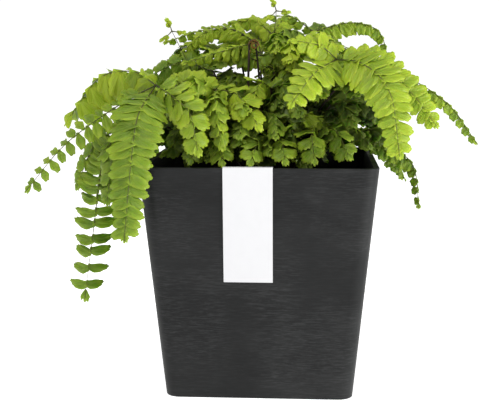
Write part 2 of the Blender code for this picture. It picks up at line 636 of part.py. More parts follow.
# Names and azimuths (degrees from +X towards the back) of the fronds in each tier
TIER_FRONDS = {
    "outer": [("right_rear", 24.0), ("rear_right", 57.0), ("rear", 90.0), ("rear_left", 123.0),
              ("left_rear", 156.0)],
    "middle": [("right_rear", 33.0), ("rear_right", 66.0), ("rear", 99.0), ("rear_left", 132.0),
               ("left", 168.0)],
    "inner": [("rear_right", 62.0), ("rear", 98.0), ("rear_left", 134.0)],
}


def around(azimuth, radius, height):
    """Point at an azimuth and radius from the planter's axis."""
    angle = math.radians(azimuth)
    return (radius * math.cos(angle), radius * math.sin(angle), height)


def rim_radius(azimuth):
    """Distance from the axis to the rim of the square planter at an azimuth, corners rounded."""
    angle = math.radians(azimuth)
    square = POT_TOP_WIDTH / 2.0 / max(abs(math.cos(angle)), abs(math.sin(angle)))
    diagonal = POT_TOP_WIDTH / 2.0 * math.sqrt(2.0) - (math.sqrt(2.0) - 1.0) * POT_CORNER_RADIUS
    return min(square, diagonal)


def tier_frond(tier, azimuth, higher):
    """Root, stipe knots and three pinnae of a frond that leans outwards at an azimuth."""
    plan = TIERS[tier]
    lift = HIGHER_FROND["raise"] if higher else 0.0
    stretch = HIGHER_FROND["further"] if higher else 0.0
    knee_radius, knee_height = plan["knee"]
    fork_radius, fork_height = plan["fork"]
    knots = [around(azimuth, knee_radius, knee_height + lift),
             around(azimuth, fork_radius, fork_height + lift)]
    pinnae = []
    for turn in (-1.0, 0.0, 1.0):
        heading = azimuth + turn * plan["spread"]
        rim = min(rim_radius(heading), plan["rim_limit"])
        bend = around(heading, rim + plan["bend"][0] + stretch, plan["bend"][1] + lift)
        tip = around(heading, rim + plan["tip"][0] + stretch, plan["tip"][1] + lift)
        facing = around(heading, 0.45, 1.0)
        pinnae.append(([bend, tip], plan["half_width"], facing))
    return (azimuth, plan["root"]), knots, pinnae


def crozier_path(root, knots, curl_radius, lean):
    """Upright young stipe that ends in a tight coil, seen from the front."""
    route = smooth_path(stipe_route(root, knots), CROZIER_STATIONS)
    top = route[-1]
    coil = []
    for step in range(1, CROZIER_COIL_STEPS + 1):
        share = step / CROZIER_COIL_STEPS
        angle = 2.0 * math.pi * CROZIER_TURNS * share
        radius = curl_radius * (1.0 - CROZIER_TIGHTENING * share)
        sideways = lean * (curl_radius - radius * math.cos(angle))
        forward = -CROZIER_LEAN_FORWARD * share
        coil.append(top + Vector((sideways, forward, radius * math.sin(angle))))
    return route + coil


def build_crozier(name, root, knots, curl_radius, lean, parts, material):
    """Unrolling young frond."""
    path = crozier_path(root, knots, curl_radius, lean)
    step = (CROZIER_END_RADIUS - CROZIER_FOOT_RADIUS) / (len(path) - 1)
    radii = [CROZIER_FOOT_RADIUS + step * index for index in range(len(path))]
    crozier = tube_object(name, path, radii, parts)
    crozier.data.materials.append(material)


def build_sprig(name, root, knots, leaf_size, parts, material):
    """Hair-thin new stalk with three small leaves at its top."""
    top = Vector(knots[-1])
    leaves = []
    for sideways, rise in SPRIG_LEAVES:
        middle = top + Vector((0.5 * sideways, -0.1, 0.6 * rise)) * leaf_size
        tip = top + Vector((sideways, -0.25, rise)) * leaf_size
        leaves.append(([middle, tip], SPRIG_LEAF_WIDTH * leaf_size, FRONT))
    build_frond(name, root, knots, leaves, parts, material, thin=SPRIG_THINNESS)


def build_fern(parts):
    """All fronds, young croziers and sprigs."""
    leaf = make_material("fern_leaf", (0.16, 0.30, 0.04), 0.55)
    stalk = make_material("young_stalk", (0.16, 0.07, 0.03), 0.5)
    for name, root, knots, pinnae in SHOWN_FRONDS:
        build_frond(name, root, knots, pinnae, parts, leaf)
    for tier, fronds in TIER_FRONDS.items():
        for index, (side, azimuth) in enumerate(fronds):
            root, knots, pinnae = tier_frond(tier, azimuth, index % 2 == 1)
            build_frond("frond_" + tier + "_" + side, root, knots, pinnae, parts, leaf)
    build_crozier("crozier_brown", (255.0, 0.006), [(-0.012, -0.012, 0.250), (-0.012, -0.012, 0.300)],
                  0.0045, 1.0, parts, stalk)
    build_crozier("crozier_green", (20.0, 0.002), [(0.006, 0.000, 0.250), (0.010, -0.002, 0.276)],
                  0.0060, -1.0, parts, leaf)
    build_sprig("sprig_left", (180.0, 0.012), [(-0.050, 0.000, 0.250), (-0.082, 0.000, 0.312)],
                0.012, parts, leaf)
    build_sprig("sprig_top", (62.0, 0.007), [(0.006, 0.010, 0.270), (0.011, 0.009, 0.330)],
                0.012, parts, leaf)


def main():
    """Build the whole object."""
    clear_scene()
    parts = make_collection(COLLECTION_NAME)
    helpers = make_collection(HELPER_NAME)
    build_planter(parts, helpers)
    build_drain_plug(parts)
    build_soil(parts, helpers)
    build_rhizome(parts)
    build_label_card(parts)
    build_fern(parts)


main()
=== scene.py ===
"""Looks of the potted maidenhair fern in its square planter.

Lengths are metres in the row frame: +Z up, +X to the right, -Y to the front.
Every frond is one mesh: a dark stipe, the ribs of its pinnae, and leaflets in pairs along them.
"""

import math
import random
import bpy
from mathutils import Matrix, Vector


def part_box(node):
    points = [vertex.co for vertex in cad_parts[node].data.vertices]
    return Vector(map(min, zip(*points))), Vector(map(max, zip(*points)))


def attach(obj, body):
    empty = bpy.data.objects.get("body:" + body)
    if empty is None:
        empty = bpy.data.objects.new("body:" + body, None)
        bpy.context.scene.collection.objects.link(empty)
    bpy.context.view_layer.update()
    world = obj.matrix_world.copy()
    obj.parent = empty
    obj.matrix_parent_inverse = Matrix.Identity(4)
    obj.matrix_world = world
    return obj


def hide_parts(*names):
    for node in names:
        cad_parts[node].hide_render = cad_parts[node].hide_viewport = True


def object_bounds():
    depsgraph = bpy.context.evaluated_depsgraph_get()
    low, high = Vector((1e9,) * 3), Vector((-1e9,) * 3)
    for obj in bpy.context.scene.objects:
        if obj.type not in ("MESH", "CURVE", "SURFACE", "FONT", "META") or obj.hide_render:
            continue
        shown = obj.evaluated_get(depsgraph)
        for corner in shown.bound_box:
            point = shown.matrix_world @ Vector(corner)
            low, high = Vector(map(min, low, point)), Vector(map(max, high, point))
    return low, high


bl_info = {
    "name": "Potted Maidenhair Fern",
    "version": (1, 0, 0),
    "blender": (4, 5, 0),
    "location": "View3D > Sidebar > Fern",
    "description": "Leafy fronds, planter, soil, card tag and stage for the potted fern",
    "category": "Add Mesh",
}

import bmesh
import bpy
from mathutils import Matrix, Vector, noise

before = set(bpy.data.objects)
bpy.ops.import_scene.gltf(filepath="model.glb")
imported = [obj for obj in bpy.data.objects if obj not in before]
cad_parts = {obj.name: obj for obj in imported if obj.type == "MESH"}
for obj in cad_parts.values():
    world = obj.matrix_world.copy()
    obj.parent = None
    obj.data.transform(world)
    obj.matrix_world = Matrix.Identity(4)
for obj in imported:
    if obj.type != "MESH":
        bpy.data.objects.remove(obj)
CAD_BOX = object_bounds()
BODY = "root"
GAP = 0.0003                 # clearance between pieces that touch

POT_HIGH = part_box("planter")[1]
SOIL_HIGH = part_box("potting_soil")[1]
CROWN_LOW, CROWN_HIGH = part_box("rhizome")
CARD_LOW, CARD_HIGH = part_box("label_card")
PLUG_LOW, PLUG_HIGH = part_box("drain_plug")
PLUG_CENTRE = (PLUG_LOW + PLUG_HIGH) / 2.0
RIM_HALF = POT_HIGH.x


# ---------------------------------------------------------------- settings

def length_setting(name, description, default):
    """Setting that holds a length."""
    return bpy.props.FloatProperty(name=name, description=description, default=default, unit='LENGTH')


def power_setting(name, description, default):
    """Setting that holds the power of a light."""
    return bpy.props.FloatProperty(name=name, description=description, default=default, subtype='POWER')


def colour_setting(name, description, red, green, blue):
    """Setting that holds a colour."""
    return bpy.props.FloatVectorProperty(name=name, description=description, subtype='COLOR', size=3,
                                         default=(red, green, blue))


class FernLeafSettings(bpy.types.PropertyGroup):
    """Leaflets and stalks of the fronds."""
    leaf_thickness: length_setting("Leaf thickness", "Thickness of a leaflet at its base", 0.00032)
    rib_radius: length_setting("Rib radius", "Radius of a pinna's rib at the fork", 0.00062)
    stipe_radius: length_setting("Stipe radius", "Radius of a stipe at its foot", 0.00125)
    # Leaflets go from the shade colour through the grown colour to the lit young colour by their tone. The
    # tone paints shade on leaflets inside the plant and light on those at its top, as well as their age.
    shade_colour: colour_setting("Old leaf", "Oldest, shaded leaflets", 0.013, 0.023, 0.007)
    leaf_colour: colour_setting("Grown leaf", "Grown leaflets", 0.115, 0.186, 0.015)
    lit_young_colour: colour_setting("Young leaf", "Young leaflets", 0.262, 0.345, 0.018)
    margin_colour: colour_setting("Leaf margin", "Leaflets towards their margin", 0.375, 0.465, 0.034)
    stalk_colour: colour_setting("Stalk", "Polished dark stalks", 0.012, 0.008, 0.006)
    stalk_fleck_colour: colour_setting("Stalk flecks", "Brown flecks on the stalks", 0.045, 0.022, 0.010)
    stalk_tip_colour: colour_setting("Stalk tip", "Stalks towards their tips", 0.090, 0.110, 0.018)
    unrolling_colour: colour_setting("Unrolling frond", "Scaly coil of a brown young frond",
                                     0.190, 0.080, 0.022)


class FernPlanterSettings(bpy.types.PropertyGroup):
    """Planter, its soil, the crown and the plug."""
    wall: length_setting("Wall", "Thickness of the planter's wall", 0.005)
    floor: length_setting("Floor", "Thickness of the planter's floor", 0.006)
    corner_radius: length_setting("Corner radius", "Radius of the planter's upright corners", 0.013)
    edge_round: length_setting("Edge round", "Rounding of the planter's rim and foot", 0.0012)
    base_width: length_setting("Base width", "Width of the planter at its foot", 0.161)
    plastic_colour: colour_setting("Plastic", "Recycled plastic", 0.0060, 0.0064, 0.0064)
    streak_colour: colour_setting("Streaks", "Brushed streaks on the plastic", 0.036, 0.0372, 0.0372)
    soil_colour: colour_setting("Soil", "Damp potting soil", 0.020, 0.012, 0.008)
    fibre_colour: colour_setting("Soil fibres", "Paler fibres in the soil", 0.075, 0.046, 0.028)
    crown_colour: colour_setting("Crown", "Scales of the crown", 0.070, 0.034, 0.014)
    crown_shade_colour: colour_setting("Crown shade", "Hollows between the scales", 0.022, 0.011, 0.006)


class FernCardSettings(bpy.types.PropertyGroup):
    """Blank card tag over the front rim."""
    thickness: length_setting("Thickness", "Thickness of the card", 0.0005)
    drop: length_setting("Drop", "Length of the card outside the planter", 0.097)
    tuck: length_setting("Tuck", "Length of the card inside the planter", 0.020)
    colour: colour_setting("Card", "Coated card", 0.54, 0.54, 0.55)
    fibre_colour: colour_setting("Card fibres", "Faint fibres in the card", 0.52, 0.52, 0.53)


class FernStageSettings(bpy.types.PropertyGroup):
    """Camera, lights and floor."""
    camera_place: bpy.props.FloatVectorProperty(
        name="Camera", description="Place of the camera", subtype='TRANSLATION', unit='LENGTH',
        size=3, default=(0.0484, -0.9989, 0.2990))
    camera_aim: bpy.props.FloatVectorProperty(
        name="Aim", description="Direction that the camera looks in", subtype='DIRECTION',
        size=3, default=(-0.0598, 0.9887, -0.1373))
    lens: bpy.props.FloatProperty(
        name="Lens", description="Focal length of the camera", subtype='DISTANCE_CAMERA', default=80.06)
    key_power: power_setting("Key light", "Overhead soft light", 13.5)
    fill_power: power_setting("Fill light", "Front soft light", 2.8)
    side_power: power_setting("Side light", "Strip light on the right", 14.0)
    sky_strength: bpy.props.FloatProperty(
        name="Surroundings", description="Strength of the white surroundings", default=0.40)


# ---------------------------------------------------------------- node helpers

def feed(tree, socket, value):
    """Link another socket to a socket, or set a plain value on it."""
    if isinstance(value, bpy.types.NodeSocket):
        tree.links.new(value, socket)
    else:
        socket.default_value = value


def node(tree, kind, **values):
    """New shader node with its properties set and its inputs fed."""
    made = tree.nodes.new(kind)
    for name, value in values.items():
        if name in made.inputs.keys():
            feed(tree, made.inputs[name], value)
        else:
            setattr(made, name, value)
    return made


def mixed(tree, factor, first, second, blend='MIX'):
    """Colour mix of sockets or plain values. Gives its result."""
    mix = node(tree, 'ShaderNodeMix', data_type='RGBA', blend_type=blend)
    for slot, value in ((0, factor), (6, first), (7, second)):
        ready = isinstance(value, (bpy.types.NodeSocket, int, float))
        feed(tree, mix.inputs[slot], value if ready else (*value, 1.0))
    return mix.outputs[2]


def maths(tree, operation, *values, clamp=False):
    """Maths node over sockets or plain numbers. Gives its result."""
    made = node(tree, 'ShaderNodeMath', operation=operation, use_clamp=clamp)
    for socket, value in zip(made.inputs, values):
        feed(tree, socket, value)
    return made.outputs[0]


def mapped(tree, value, low, high, to_low=0.0, to_high=1.0):
    """Smooth remapping of a value between two bounds."""
    bounds = {'From Min': low, 'From Max': high, 'To Min': to_low, 'To Max': to_high}
    made = node(tree, 'ShaderNodeMapRange', interpolation_type='SMOOTHSTEP', Value=value, **bounds)
    return made.outputs[0]


def object_position(tree, stretch=(1.0, 1.0, 1.0)):
    """Place on the piece, stretched along the axes."""
    place = tree.nodes.new('ShaderNodeTexCoord').outputs['Object']
    return node(tree, 'ShaderNodeMapping', Vector=place, Scale=stretch).outputs[0]


def noise_at(tree, place, scale=1.0, detail=3.0, roughness=0.6, distortion=0.0):
    """Noise texture at a place. Gives its value."""
    return node(tree, 'ShaderNodeTexNoise', Vector=place, Scale=scale, Detail=detail,
                Roughness=roughness, Distortion=distortion).outputs[0]


def attribute_value(tree, name):
    """Value that the mesh holds at each vertex under a name."""
    return node(tree, 'ShaderNodeAttribute', attribute_name=name).outputs['Fac']


def bump(tree, height, strength, depth):
    """Normal of a surface with a height on it."""
    return node(tree, 'ShaderNodeBump', Height=height, Strength=strength, Distance=depth).outputs[0]


def new_group(name, inputs, outputs):
    """Shader node group with named float, colour or vector sockets and its two end nodes."""
    tree = bpy.data.node_groups.new(name, 'ShaderNodeTree')
    kinds = {"value": 'NodeSocketFloat', "colour": 'NodeSocketColor', "normal": 'NodeSocketVector'}
    for label, kind, default in inputs:
        socket = tree.interface.new_socket(name=label, in_out='INPUT', socket_type=kinds[kind])
        if default is not None:
            socket.default_value = default
    for label, kind in outputs:
        tree.interface.new_socket(name=label, in_out='OUTPUT', socket_type=kinds[kind])
    return tree, tree.nodes.new('NodeGroupInput'), tree.nodes.new('NodeGroupOutput')


def placed_group(tree, name, **values):
    """Group node in a material, its inputs fed."""
    return node(tree, 'ShaderNodeGroup', node_tree=bpy.data.node_groups[name], **values)


NOISE_ROUGHNESS = 0.5        # of an even noise, as in the groups below


def build_mottle_group():
    """Cloudy two-colour variation used by leaves, plastic, soil, crown and card."""
    tree, start, end = new_group(
        "mottle",
        [("First", "colour", (0.1, 0.1, 0.1, 1.0)), ("Second", "colour", (0.5, 0.5, 0.5, 1.0)),
         ("Size", "value", 40.0), ("Amount", "value", 1.0),
         ("Low", "value", 0.35), ("High", "value", 0.65)],
        [("Colour", "colour"), ("Mask", "value")])
    clouds = noise_at(tree, object_position(tree), start.outputs['Size'], 5.0, NOISE_ROUGHNESS)
    banks = mapped(tree, clouds, start.outputs['Low'], start.outputs['High'])
    mask = maths(tree, 'MULTIPLY', banks, start.outputs['Amount'], clamp=True)
    colour = mixed(tree, mask, start.outputs['First'], start.outputs['Second'])
    tree.links.new(colour, end.inputs['Colour'])
    tree.links.new(mask, end.inputs['Mask'])


def build_grain_group():
    """Fine pits as a bump of a surface."""
    tree, start, end = new_group(
        "surface_grain",
        [("Size", "value", 900.0), ("Strength", "value", 0.3), ("Depth", "value", 0.0002)],
        [("Normal", "normal")])
    pits = noise_at(tree, object_position(tree), start.outputs['Size'], 4.0, NOISE_ROUGHNESS)
    normal = bump(tree, pits, start.outputs['Strength'], start.outputs['Depth'])
    tree.links.new(normal, end.inputs['Normal'])


def new_material(name, roughness, specular=0.5):
    """Principled material with plain gloss values. Gives its tree and its shader."""
    material = bpy.data.materials.new(name)
    material.use_nodes = True
    shader = material.node_tree.nodes["Principled BSDF"]
    shader.inputs["Roughness"].default_value = roughness
    shader.inputs["Specular IOR Level"].default_value = specular
    return material.node_tree, shader


TINGE_SHARE = 0.85           # how much of a tinge covers the leaf's own green
TINGED_MARGIN = 1.7          # how much paler than its tinge a tinged leaf's margin is
VEIN_RATE = 110.0            # turns of the vein pattern around a leaflet, in radians
VEIN_SHADE = (0.55, 0.62, 0.42)


def build_leaf_material(name, lift, tinge=None):
    """Leaf: tone for each leaflet, with painted light and shade in it, paler margin, veins and soft
    mottling, perhaps tinged.
    """
    leaf = bpy.context.scene.fern_leaf
    margin = leaf.margin_colour if tinge is None else [TINGED_MARGIN * value for value in tinge]
    tree, shader = new_material(name, 0.46, 0.18)
    reach = attribute_value(tree, "reach")
    tone = maths(tree, 'ADD', attribute_value(tree, "tone"), lift, clamp=True)
    # Low tones are painted shade and high tones painted light, besides the leaflets' age.
    body = mixed(tree, mapped(tree, tone, 0.0, 0.55), leaf.shade_colour, leaf.leaf_colour)
    body = mixed(tree, mapped(tree, tone, 0.40, 1.0), body, leaf.lit_young_colour)
    if tinge is not None:
        body = mixed(tree, TINGE_SHARE, body, tinge)
    clouds = placed_group(tree, "mottle", First=body, Second=mixed(tree, 0.45, body, margin),
                          Size=90.0, Amount=0.35, Low=0.40, High=0.72)
    # The paler margin grows with the tone, so it follows the painted light as well.
    edge = maths(tree, 'MULTIPLY', mapped(tree, reach, 0.55, 1.0), maths(tree, 'MULTIPLY', tone, 0.55))
    coloured = mixed(tree, edge, clouds.outputs['Colour'], margin)
    wave = maths(tree, 'SINE', maths(tree, 'MULTIPLY', attribute_value(tree, "around"), VEIN_RATE))
    fading = mapped(tree, reach, 0.05, 0.95, 0.30, 0.12)
    vein = maths(tree, 'MULTIPLY', mapped(tree, wave, 0.35, 1.0), fading)
    veined = mixed(tree, vein, coloured, mixed(tree, 1.0, coloured, VEIN_SHADE, 'MULTIPLY'))
    tree.links.new(veined, shader.inputs['Base Color'])
    tree.links.new(bump(tree, wave, 0.35, 0.00018), shader.inputs['Normal'])
    rough = mapped(tree, clouds.outputs['Mask'], 0.0, 0.35, 0.36, 0.52)
    tree.links.new(rough, shader.inputs['Roughness'])
    shader.inputs['Subsurface Weight'].default_value = 0.25
    shader.inputs['Subsurface Radius'].default_value = (0.5, 1.0, 0.15)
    shader.inputs['Subsurface Scale'].default_value = 0.0012


def build_planter_material():
    """Recycled plastic with horizontal brushed streaks and scuffed mottling."""
    planter = bpy.context.scene.fern_planter
    tree, shader = new_material("streaked_plastic", 0.5, 0.14)
    long_streaks = noise_at(tree, object_position(tree, (95.0, 95.0, 1000.0)))
    fine_streaks = noise_at(tree, object_position(tree, (260.0, 260.0, 2000.0)))
    scuffs = placed_group(tree, "mottle", Size=16.0, Amount=1.0, Low=0.30, High=0.72).outputs['Mask']
    streaks = maths(tree, 'ADD', mapped(tree, long_streaks, 0.42, 0.74),
                    mapped(tree, fine_streaks, 0.50, 0.80, 0.0, 0.8))
    patchy = maths(tree, 'MULTIPLY', streaks, mapped(tree, scuffs, 0.0, 1.0, 0.12, 0.60), clamp=True)
    wide_spots = noise_at(tree, object_position(tree, (7.0, 7.0, 16.0)), distortion=0.4)
    blotches = mapped(tree, wide_spots, 0.34, 0.66)
    soft = maths(tree, 'MULTIPLY', blotches,
                 maths(tree, 'ADD', 0.10, maths(tree, 'MULTIPLY', scuffs, 0.24)))
    base = mixed(tree, soft, planter.plastic_colour, planter.streak_colour)
    coloured = mixed(tree, patchy, base, planter.streak_colour)
    tree.links.new(coloured, shader.inputs['Base Color'])
    rough = maths(tree, 'ADD', 0.44, maths(tree, 'MULTIPLY', streaks, 0.12))
    tree.links.new(rough, shader.inputs['Roughness'])
    pits = noise_at(tree, object_position(tree), 1400.0, roughness=NOISE_ROUGHNESS)
    height = maths(tree, 'ADD', maths(tree, 'MULTIPLY', fine_streaks, 0.7),
                   maths(tree, 'MULTIPLY', pits, 0.5))
    tree.links.new(bump(tree, height, 0.14, 0.00025), shader.inputs['Normal'])


def add_finish(tree, shader, clouds, cloudiest, smooth, rough, size, strength, depth):
    """Cloudy colour, fine grain, and roughness that rises with the clouds."""
    tree.links.new(clouds.outputs['Colour'], shader.inputs['Base Color'])
    grain = placed_group(tree, "surface_grain", Size=size, Strength=strength, Depth=depth)
    tree.links.new(grain.outputs['Normal'], shader.inputs['Normal'])
    roughness = mapped(tree, clouds.outputs['Mask'], 0.0, cloudiest, smooth, rough)
    tree.links.new(roughness, shader.inputs['Roughness'])


def build_stalk_material():
    """Polished dark stalk that turns green towards its tip."""
    leaf = bpy.context.scene.fern_leaf
    tree, shader = new_material("polished_stalk", 0.40, 0.25)
    # The greening also follows the tone, so it carries the leaflets' painted light and shade.
    greening = maths(tree, 'MULTIPLY', mapped(tree, attribute_value(tree, "reach"), 0.45, 1.0),
                     mapped(tree, attribute_value(tree, "tone"), 0.2, 0.9, 0.4, 1.0))
    plain = mixed(tree, greening, leaf.stalk_colour, leaf.stalk_tip_colour)
    flecked = mixed(tree, greening, leaf.stalk_fleck_colour, leaf.stalk_tip_colour)
    clouds = placed_group(tree, "mottle", First=plain, Second=flecked, Size=260.0, Amount=0.5)
    add_finish(tree, shader, clouds, 0.5, 0.36, 0.52, 1500.0, 0.2, 0.0001)


def build_soil_material():
    """Damp crumbly potting soil with paler fibres."""
    planter = bpy.context.scene.fern_planter
    tree, shader = new_material("potting_soil_look", 0.95, 0.2)
    clouds = placed_group(tree, "mottle", First=(*planter.soil_colour, 1.0),
                          Second=(*planter.fibre_colour, 1.0), Size=420.0, Amount=0.8, Low=0.45, High=0.75)
    add_finish(tree, shader, clouds, 0.8, 0.85, 0.98, 1100.0, 0.8, 0.0008)


def build_crown_material():
    """Brown scaly crown."""
    planter = bpy.context.scene.fern_planter
    tree, shader = new_material("scaly_crown", 0.8, 0.3)
    clouds = placed_group(tree, "mottle", First=(*planter.crown_shade_colour, 1.0),
                          Second=(*planter.crown_colour, 1.0), Size=300.0)
    add_finish(tree, shader, clouds, 1.0, 0.70, 0.90, 700.0, 0.8, 0.0006)


def build_card_material():
    """White coated card with faint fibres."""
    card = bpy.context.scene.fern_card
    tree, shader = new_material("coated_card", 0.55, 0.4)
    clouds = placed_group(tree, "mottle", First=(*card.colour, 1.0), Second=(*card.fibre_colour, 1.0),
                          Size=130.0, Amount=0.4, High=0.75)
    add_finish(tree, shader, clouds, 0.5, 0.50, 0.60, 2600.0, 0.12, 0.0001)


def build_rubber_material():
    """Moulded black rubber of the plug."""
    tree, shader = new_material("moulded_rubber", 0.75, 0.35)
    clouds = placed_group(tree, "mottle", First=(0.014, 0.014, 0.014, 1.0),
                          Second=(0.030, 0.029, 0.028, 1.0), Size=220.0)
    add_finish(tree, shader, clouds, 1.0, 0.65, 0.85, 1800.0, 0.4, 0.0001)


# ---------------------------------------------------------------- mesh helpers

def add_object(name, data):
    """Object in the scene that shows some data."""
    obj = bpy.data.objects.new(name, data)
    bpy.context.scene.collection.objects.link(obj)
    return obj


def add_piece(name, mesh, materials, slot, *nodes):
    """Piece in the scene that rides on the body and stands for its CAD nodes."""
    piece = add_object(name, mesh)
    for material in materials:
        mesh.materials.append(bpy.data.materials[material])
    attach(piece, BODY)
    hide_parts(*nodes)
    return piece


def smoothed(mesh, degrees):
    """The mesh, smooth but for edges sharper than an angle."""
    mesh.shade_smooth()
    mesh.set_sharp_from_angle(angle=math.radians(degrees))
    return mesh


def mesh_from(bm, name):
    """Mesh from a bmesh, its faces turned outwards."""
    bmesh.ops.recalc_face_normals(bm, faces=bm.faces[:])
    mesh = bpy.data.meshes.new(name)
    bm.to_mesh(mesh)
    bm.free()
    return mesh


def applied(obj):
    """Mesh of an object with its modifiers applied; the object is removed."""
    depsgraph = bpy.context.evaluated_depsgraph_get()
    mesh = bpy.data.meshes.new_from_object(obj.evaluated_get(depsgraph))
    bpy.data.objects.remove(obj, do_unlink=True)
    return mesh


class Weave:
    """Vertices, faces and per-vertex values of one mesh, gathered piece by piece."""

    def __init__(self):
        self.places = []
        self.faces = []
        self.slots = []
        self.values = {"tone": [], "reach": [], "around": []}

    def add(self, places, faces, slot, tone, reach, around):
        """Append one closed shell."""
        first = len(self.places)
        self.places.extend(places)
        self.faces.extend(tuple(first + index for index in face) for face in faces)
        self.slots.extend([slot] * len(faces))
        self.values["tone"].extend([tone] * len(places))
        self.values["reach"].extend(reach)
        self.values["around"].extend(around)

    def mesh(self, name):
        """The gathered mesh, smooth, with its values as point attributes."""
        mesh = bpy.data.meshes.new(name)
        mesh.from_pydata([tuple(place) for place in self.places], [], self.faces)
        mesh.polygons.foreach_set("material_index", self.slots)
        for label, numbers in self.values.items():
            attribute = mesh.attributes.new(label, 'FLOAT', 'POINT')
            attribute.data.foreach_set("value", numbers)
        mesh.shade_smooth()
        mesh.update()
        return mesh


def smooth_path(points, count):
    """Evenly numbered stations on a Catmull-Rom curve through the given points."""
    knots = [Vector(point) for point in points]
    padded = [2.0 * knots[0] - knots[1]] + knots + [2.0 * knots[-1] - knots[-2]]
    spans = len(knots) - 1
    path = []
    for index in range(count):
        place = spans * index / (count - 1)
        span = min(int(place), spans - 1)
        share = place - span
        before, start, end, after = padded[span:span + 4]
        path.append(0.5 * (2.0 * start + (end - before) * share
                           + (2.0 * before - 5.0 * start + 4.0 * end - after) * share ** 2
                           + (3.0 * start - before - 3.0 * end + after) * share ** 3))
    return path


def add_tube(weave, path, radii, tone, reach_from=0.0, reach_to=1.0, sides=8):
    """Round rod along a path, closed at both ends."""
    places = []
    reach = []
    faces = []
    last = len(path) - 1
    across = None
    for index, middle in enumerate(path):
        tangent = (path[min(index + 1, last)] - path[max(index - 1, 0)]).normalized()
        if across is None:
            across = tangent.orthogonal().normalized()
        across = (across - tangent * across.dot(tangent)).normalized()
        up = tangent.cross(across)
        for side in range(sides):
            angle = 2.0 * math.pi * side / sides
            places.append(middle + (across * math.cos(angle) + up * math.sin(angle)) * radii[index])
            reach.append(reach_from + (reach_to - reach_from) * index / last)
    for index in range(last):
        for side in range(sides):
            follow = (side + 1) % sides
            low = index * sides
            high = low + sides
            faces.append((low + side, low + follow, high + follow, high + side))
    faces.append(tuple(range(sides))[::-1])
    faces.append(tuple(last * sides + side for side in range(sides)))
    weave.add(places, faces, STALK_SLOT, tone, reach, [0.0] * len(places))


# ---------------------------------------------------------------- fronds

LEAF_SLOT = 0
STALK_SLOT = 1
UP = Vector((0.0, 0.0, 1.0))
CROWN_RADIUS = (CROWN_HIGH.x - CROWN_LOW.x) / 2.0
CROWN_HEIGHT = CROWN_HIGH.z - SOIL_HIGH.z
STIPE_LIFT = 0.0010          # height of a stipe's foot above the crown's smooth dome

# Ways that the upper faces of a pinna's leaflets look.
FORWARD = (0.10, -1.0, 0.15)
FRONT = (0.0, -1.0, 0.60)
LEFTWARD = (-0.25, -1.0, 0.30)
INWARD = (-0.05, -1.0, 0.45)
CLIMBING = (0.08, -1.0, 0.60)
FRONT_RIGHT = (0.25, -1.0, 0.55)
ABOVE = (0.0, -0.7, 0.9)
LEFT_ABOVE = (-0.35, -0.9, 0.8)
RIGHT_ABOVE = (0.35, -0.9, 0.8)
ARCHING = (0.10, -0.45, 1.0)

# Ways that leaflets grow.
# pitch: distance between pairs; first: share of the pinna before the first pair; crowd: above 1, the
# pairs stand closer near the foot; wide: width as a share of the pitch; end: length left at the tip.
# base: width at the attachment; square: bluntness of the outline; lobes, depth and points: number
# and depth of the margin's lobes, and its corners; bow: bend towards the pinna's tip; ruffle: waves.
# hang: share of a right angle that leaflets fold down by; sweep: lean towards the pinna's tip, and
# closing, what the tip adds to it, in degrees; tilt: turn about a leaflet's own length, in degrees.
# uneven and vary: spread of these turns, and of the tone.
COMMON_HABIT = {"first": 0.10, "crowd": 1.0, "square": 2.7, "ruffle": 0.06, "points": 21,
                "closing": 12.0, "uneven": 1.0, "vary": 0.09}
OWN_HABITS = {
    "comb": {"pitch": 0.0084, "wide": 1.30, "base": 0.82, "lobes": 5, "depth": 0.085, "hang": 0.07,
             "sweep": 11.0, "tilt": 6.5, "bow": -0.05, "square": 2.6, "ruffle": 0.030, "end": 0.46,
             "points": 33, "uneven": 0.5, "closing": 21.0},
    "broad": {"pitch": 0.0125, "wide": 1.40, "base": 0.30, "lobes": 7, "depth": 0.17, "hang": 0.24,
              "sweep": 12.0, "tilt": 9.0, "bow": -0.04, "end": 0.62, "points": 33},
    "weeping": {"pitch": 0.0150, "wide": 1.32, "base": 0.50, "lobes": 6, "depth": 0.12, "hang": 0.54,
                "sweep": 14.0, "tilt": 17.0, "bow": -0.04, "square": 2.5, "end": 0.85, "points": 33,
                "vary": 0.20},
    "sparse": {"pitch": 0.0096, "wide": 0.92, "base": 0.26, "lobes": 4, "depth": 0.14, "hang": 0.30,
               "sweep": 12.0, "tilt": 8.0, "bow": 0.06, "square": 2.3, "ruffle": 0.05, "end": 0.62,
               "crowd": 1.3, "vary": 0.12},
    "crescent": {"pitch": 0.0090, "wide": 1.22, "base": 0.50, "lobes": 7, "depth": 0.12, "hang": 0.25,
                 "sweep": 8.0, "tilt": 20.0, "bow": -0.42, "square": 2.4, "ruffle": 0.05, "end": 0.72,
                 "points": 29, "crowd": 1.75},
    "drooping": {"pitch": 0.0086, "wide": 1.12, "base": 0.30, "lobes": 4, "depth": 0.15, "hang": 0.40,
                 "sweep": 20.0, "tilt": 12.0, "bow": 0.06, "end": 0.42},
    "fringe": {"pitch": 0.0088, "wide": 1.16, "base": 0.34, "lobes": 4, "depth": 0.15, "hang": 0.60,
               "sweep": 10.0, "tilt": 8.0, "bow": 0.06, "end": 0.34},
    "fan": {"pitch": 0.0096, "wide": 1.62, "base": 0.20, "lobes": 5, "depth": 0.25, "hang": 0.28,
            "sweep": 30.0, "tilt": 16.0, "bow": 0.05, "square": 3.0, "ruffle": 0.08, "end": 0.62},
    "spray": {"pitch": 0.0042, "wide": 1.90, "base": 0.22, "lobes": 3, "depth": 0.16, "hang": 0.15,
              "sweep": 18.0, "tilt": 14.0, "bow": 0.0, "square": 2.6, "ruffle": 0.08, "end": 0.9,
              "points": 13, "uneven": 3.5, "first": 0.72},
}
OWN_HABITS["side"] = {**OWN_HABITS["fan"], "first": 0.16}
HABITS = {name: {**COMMON_HABIT, **own} for name, own in OWN_HABITS.items()}
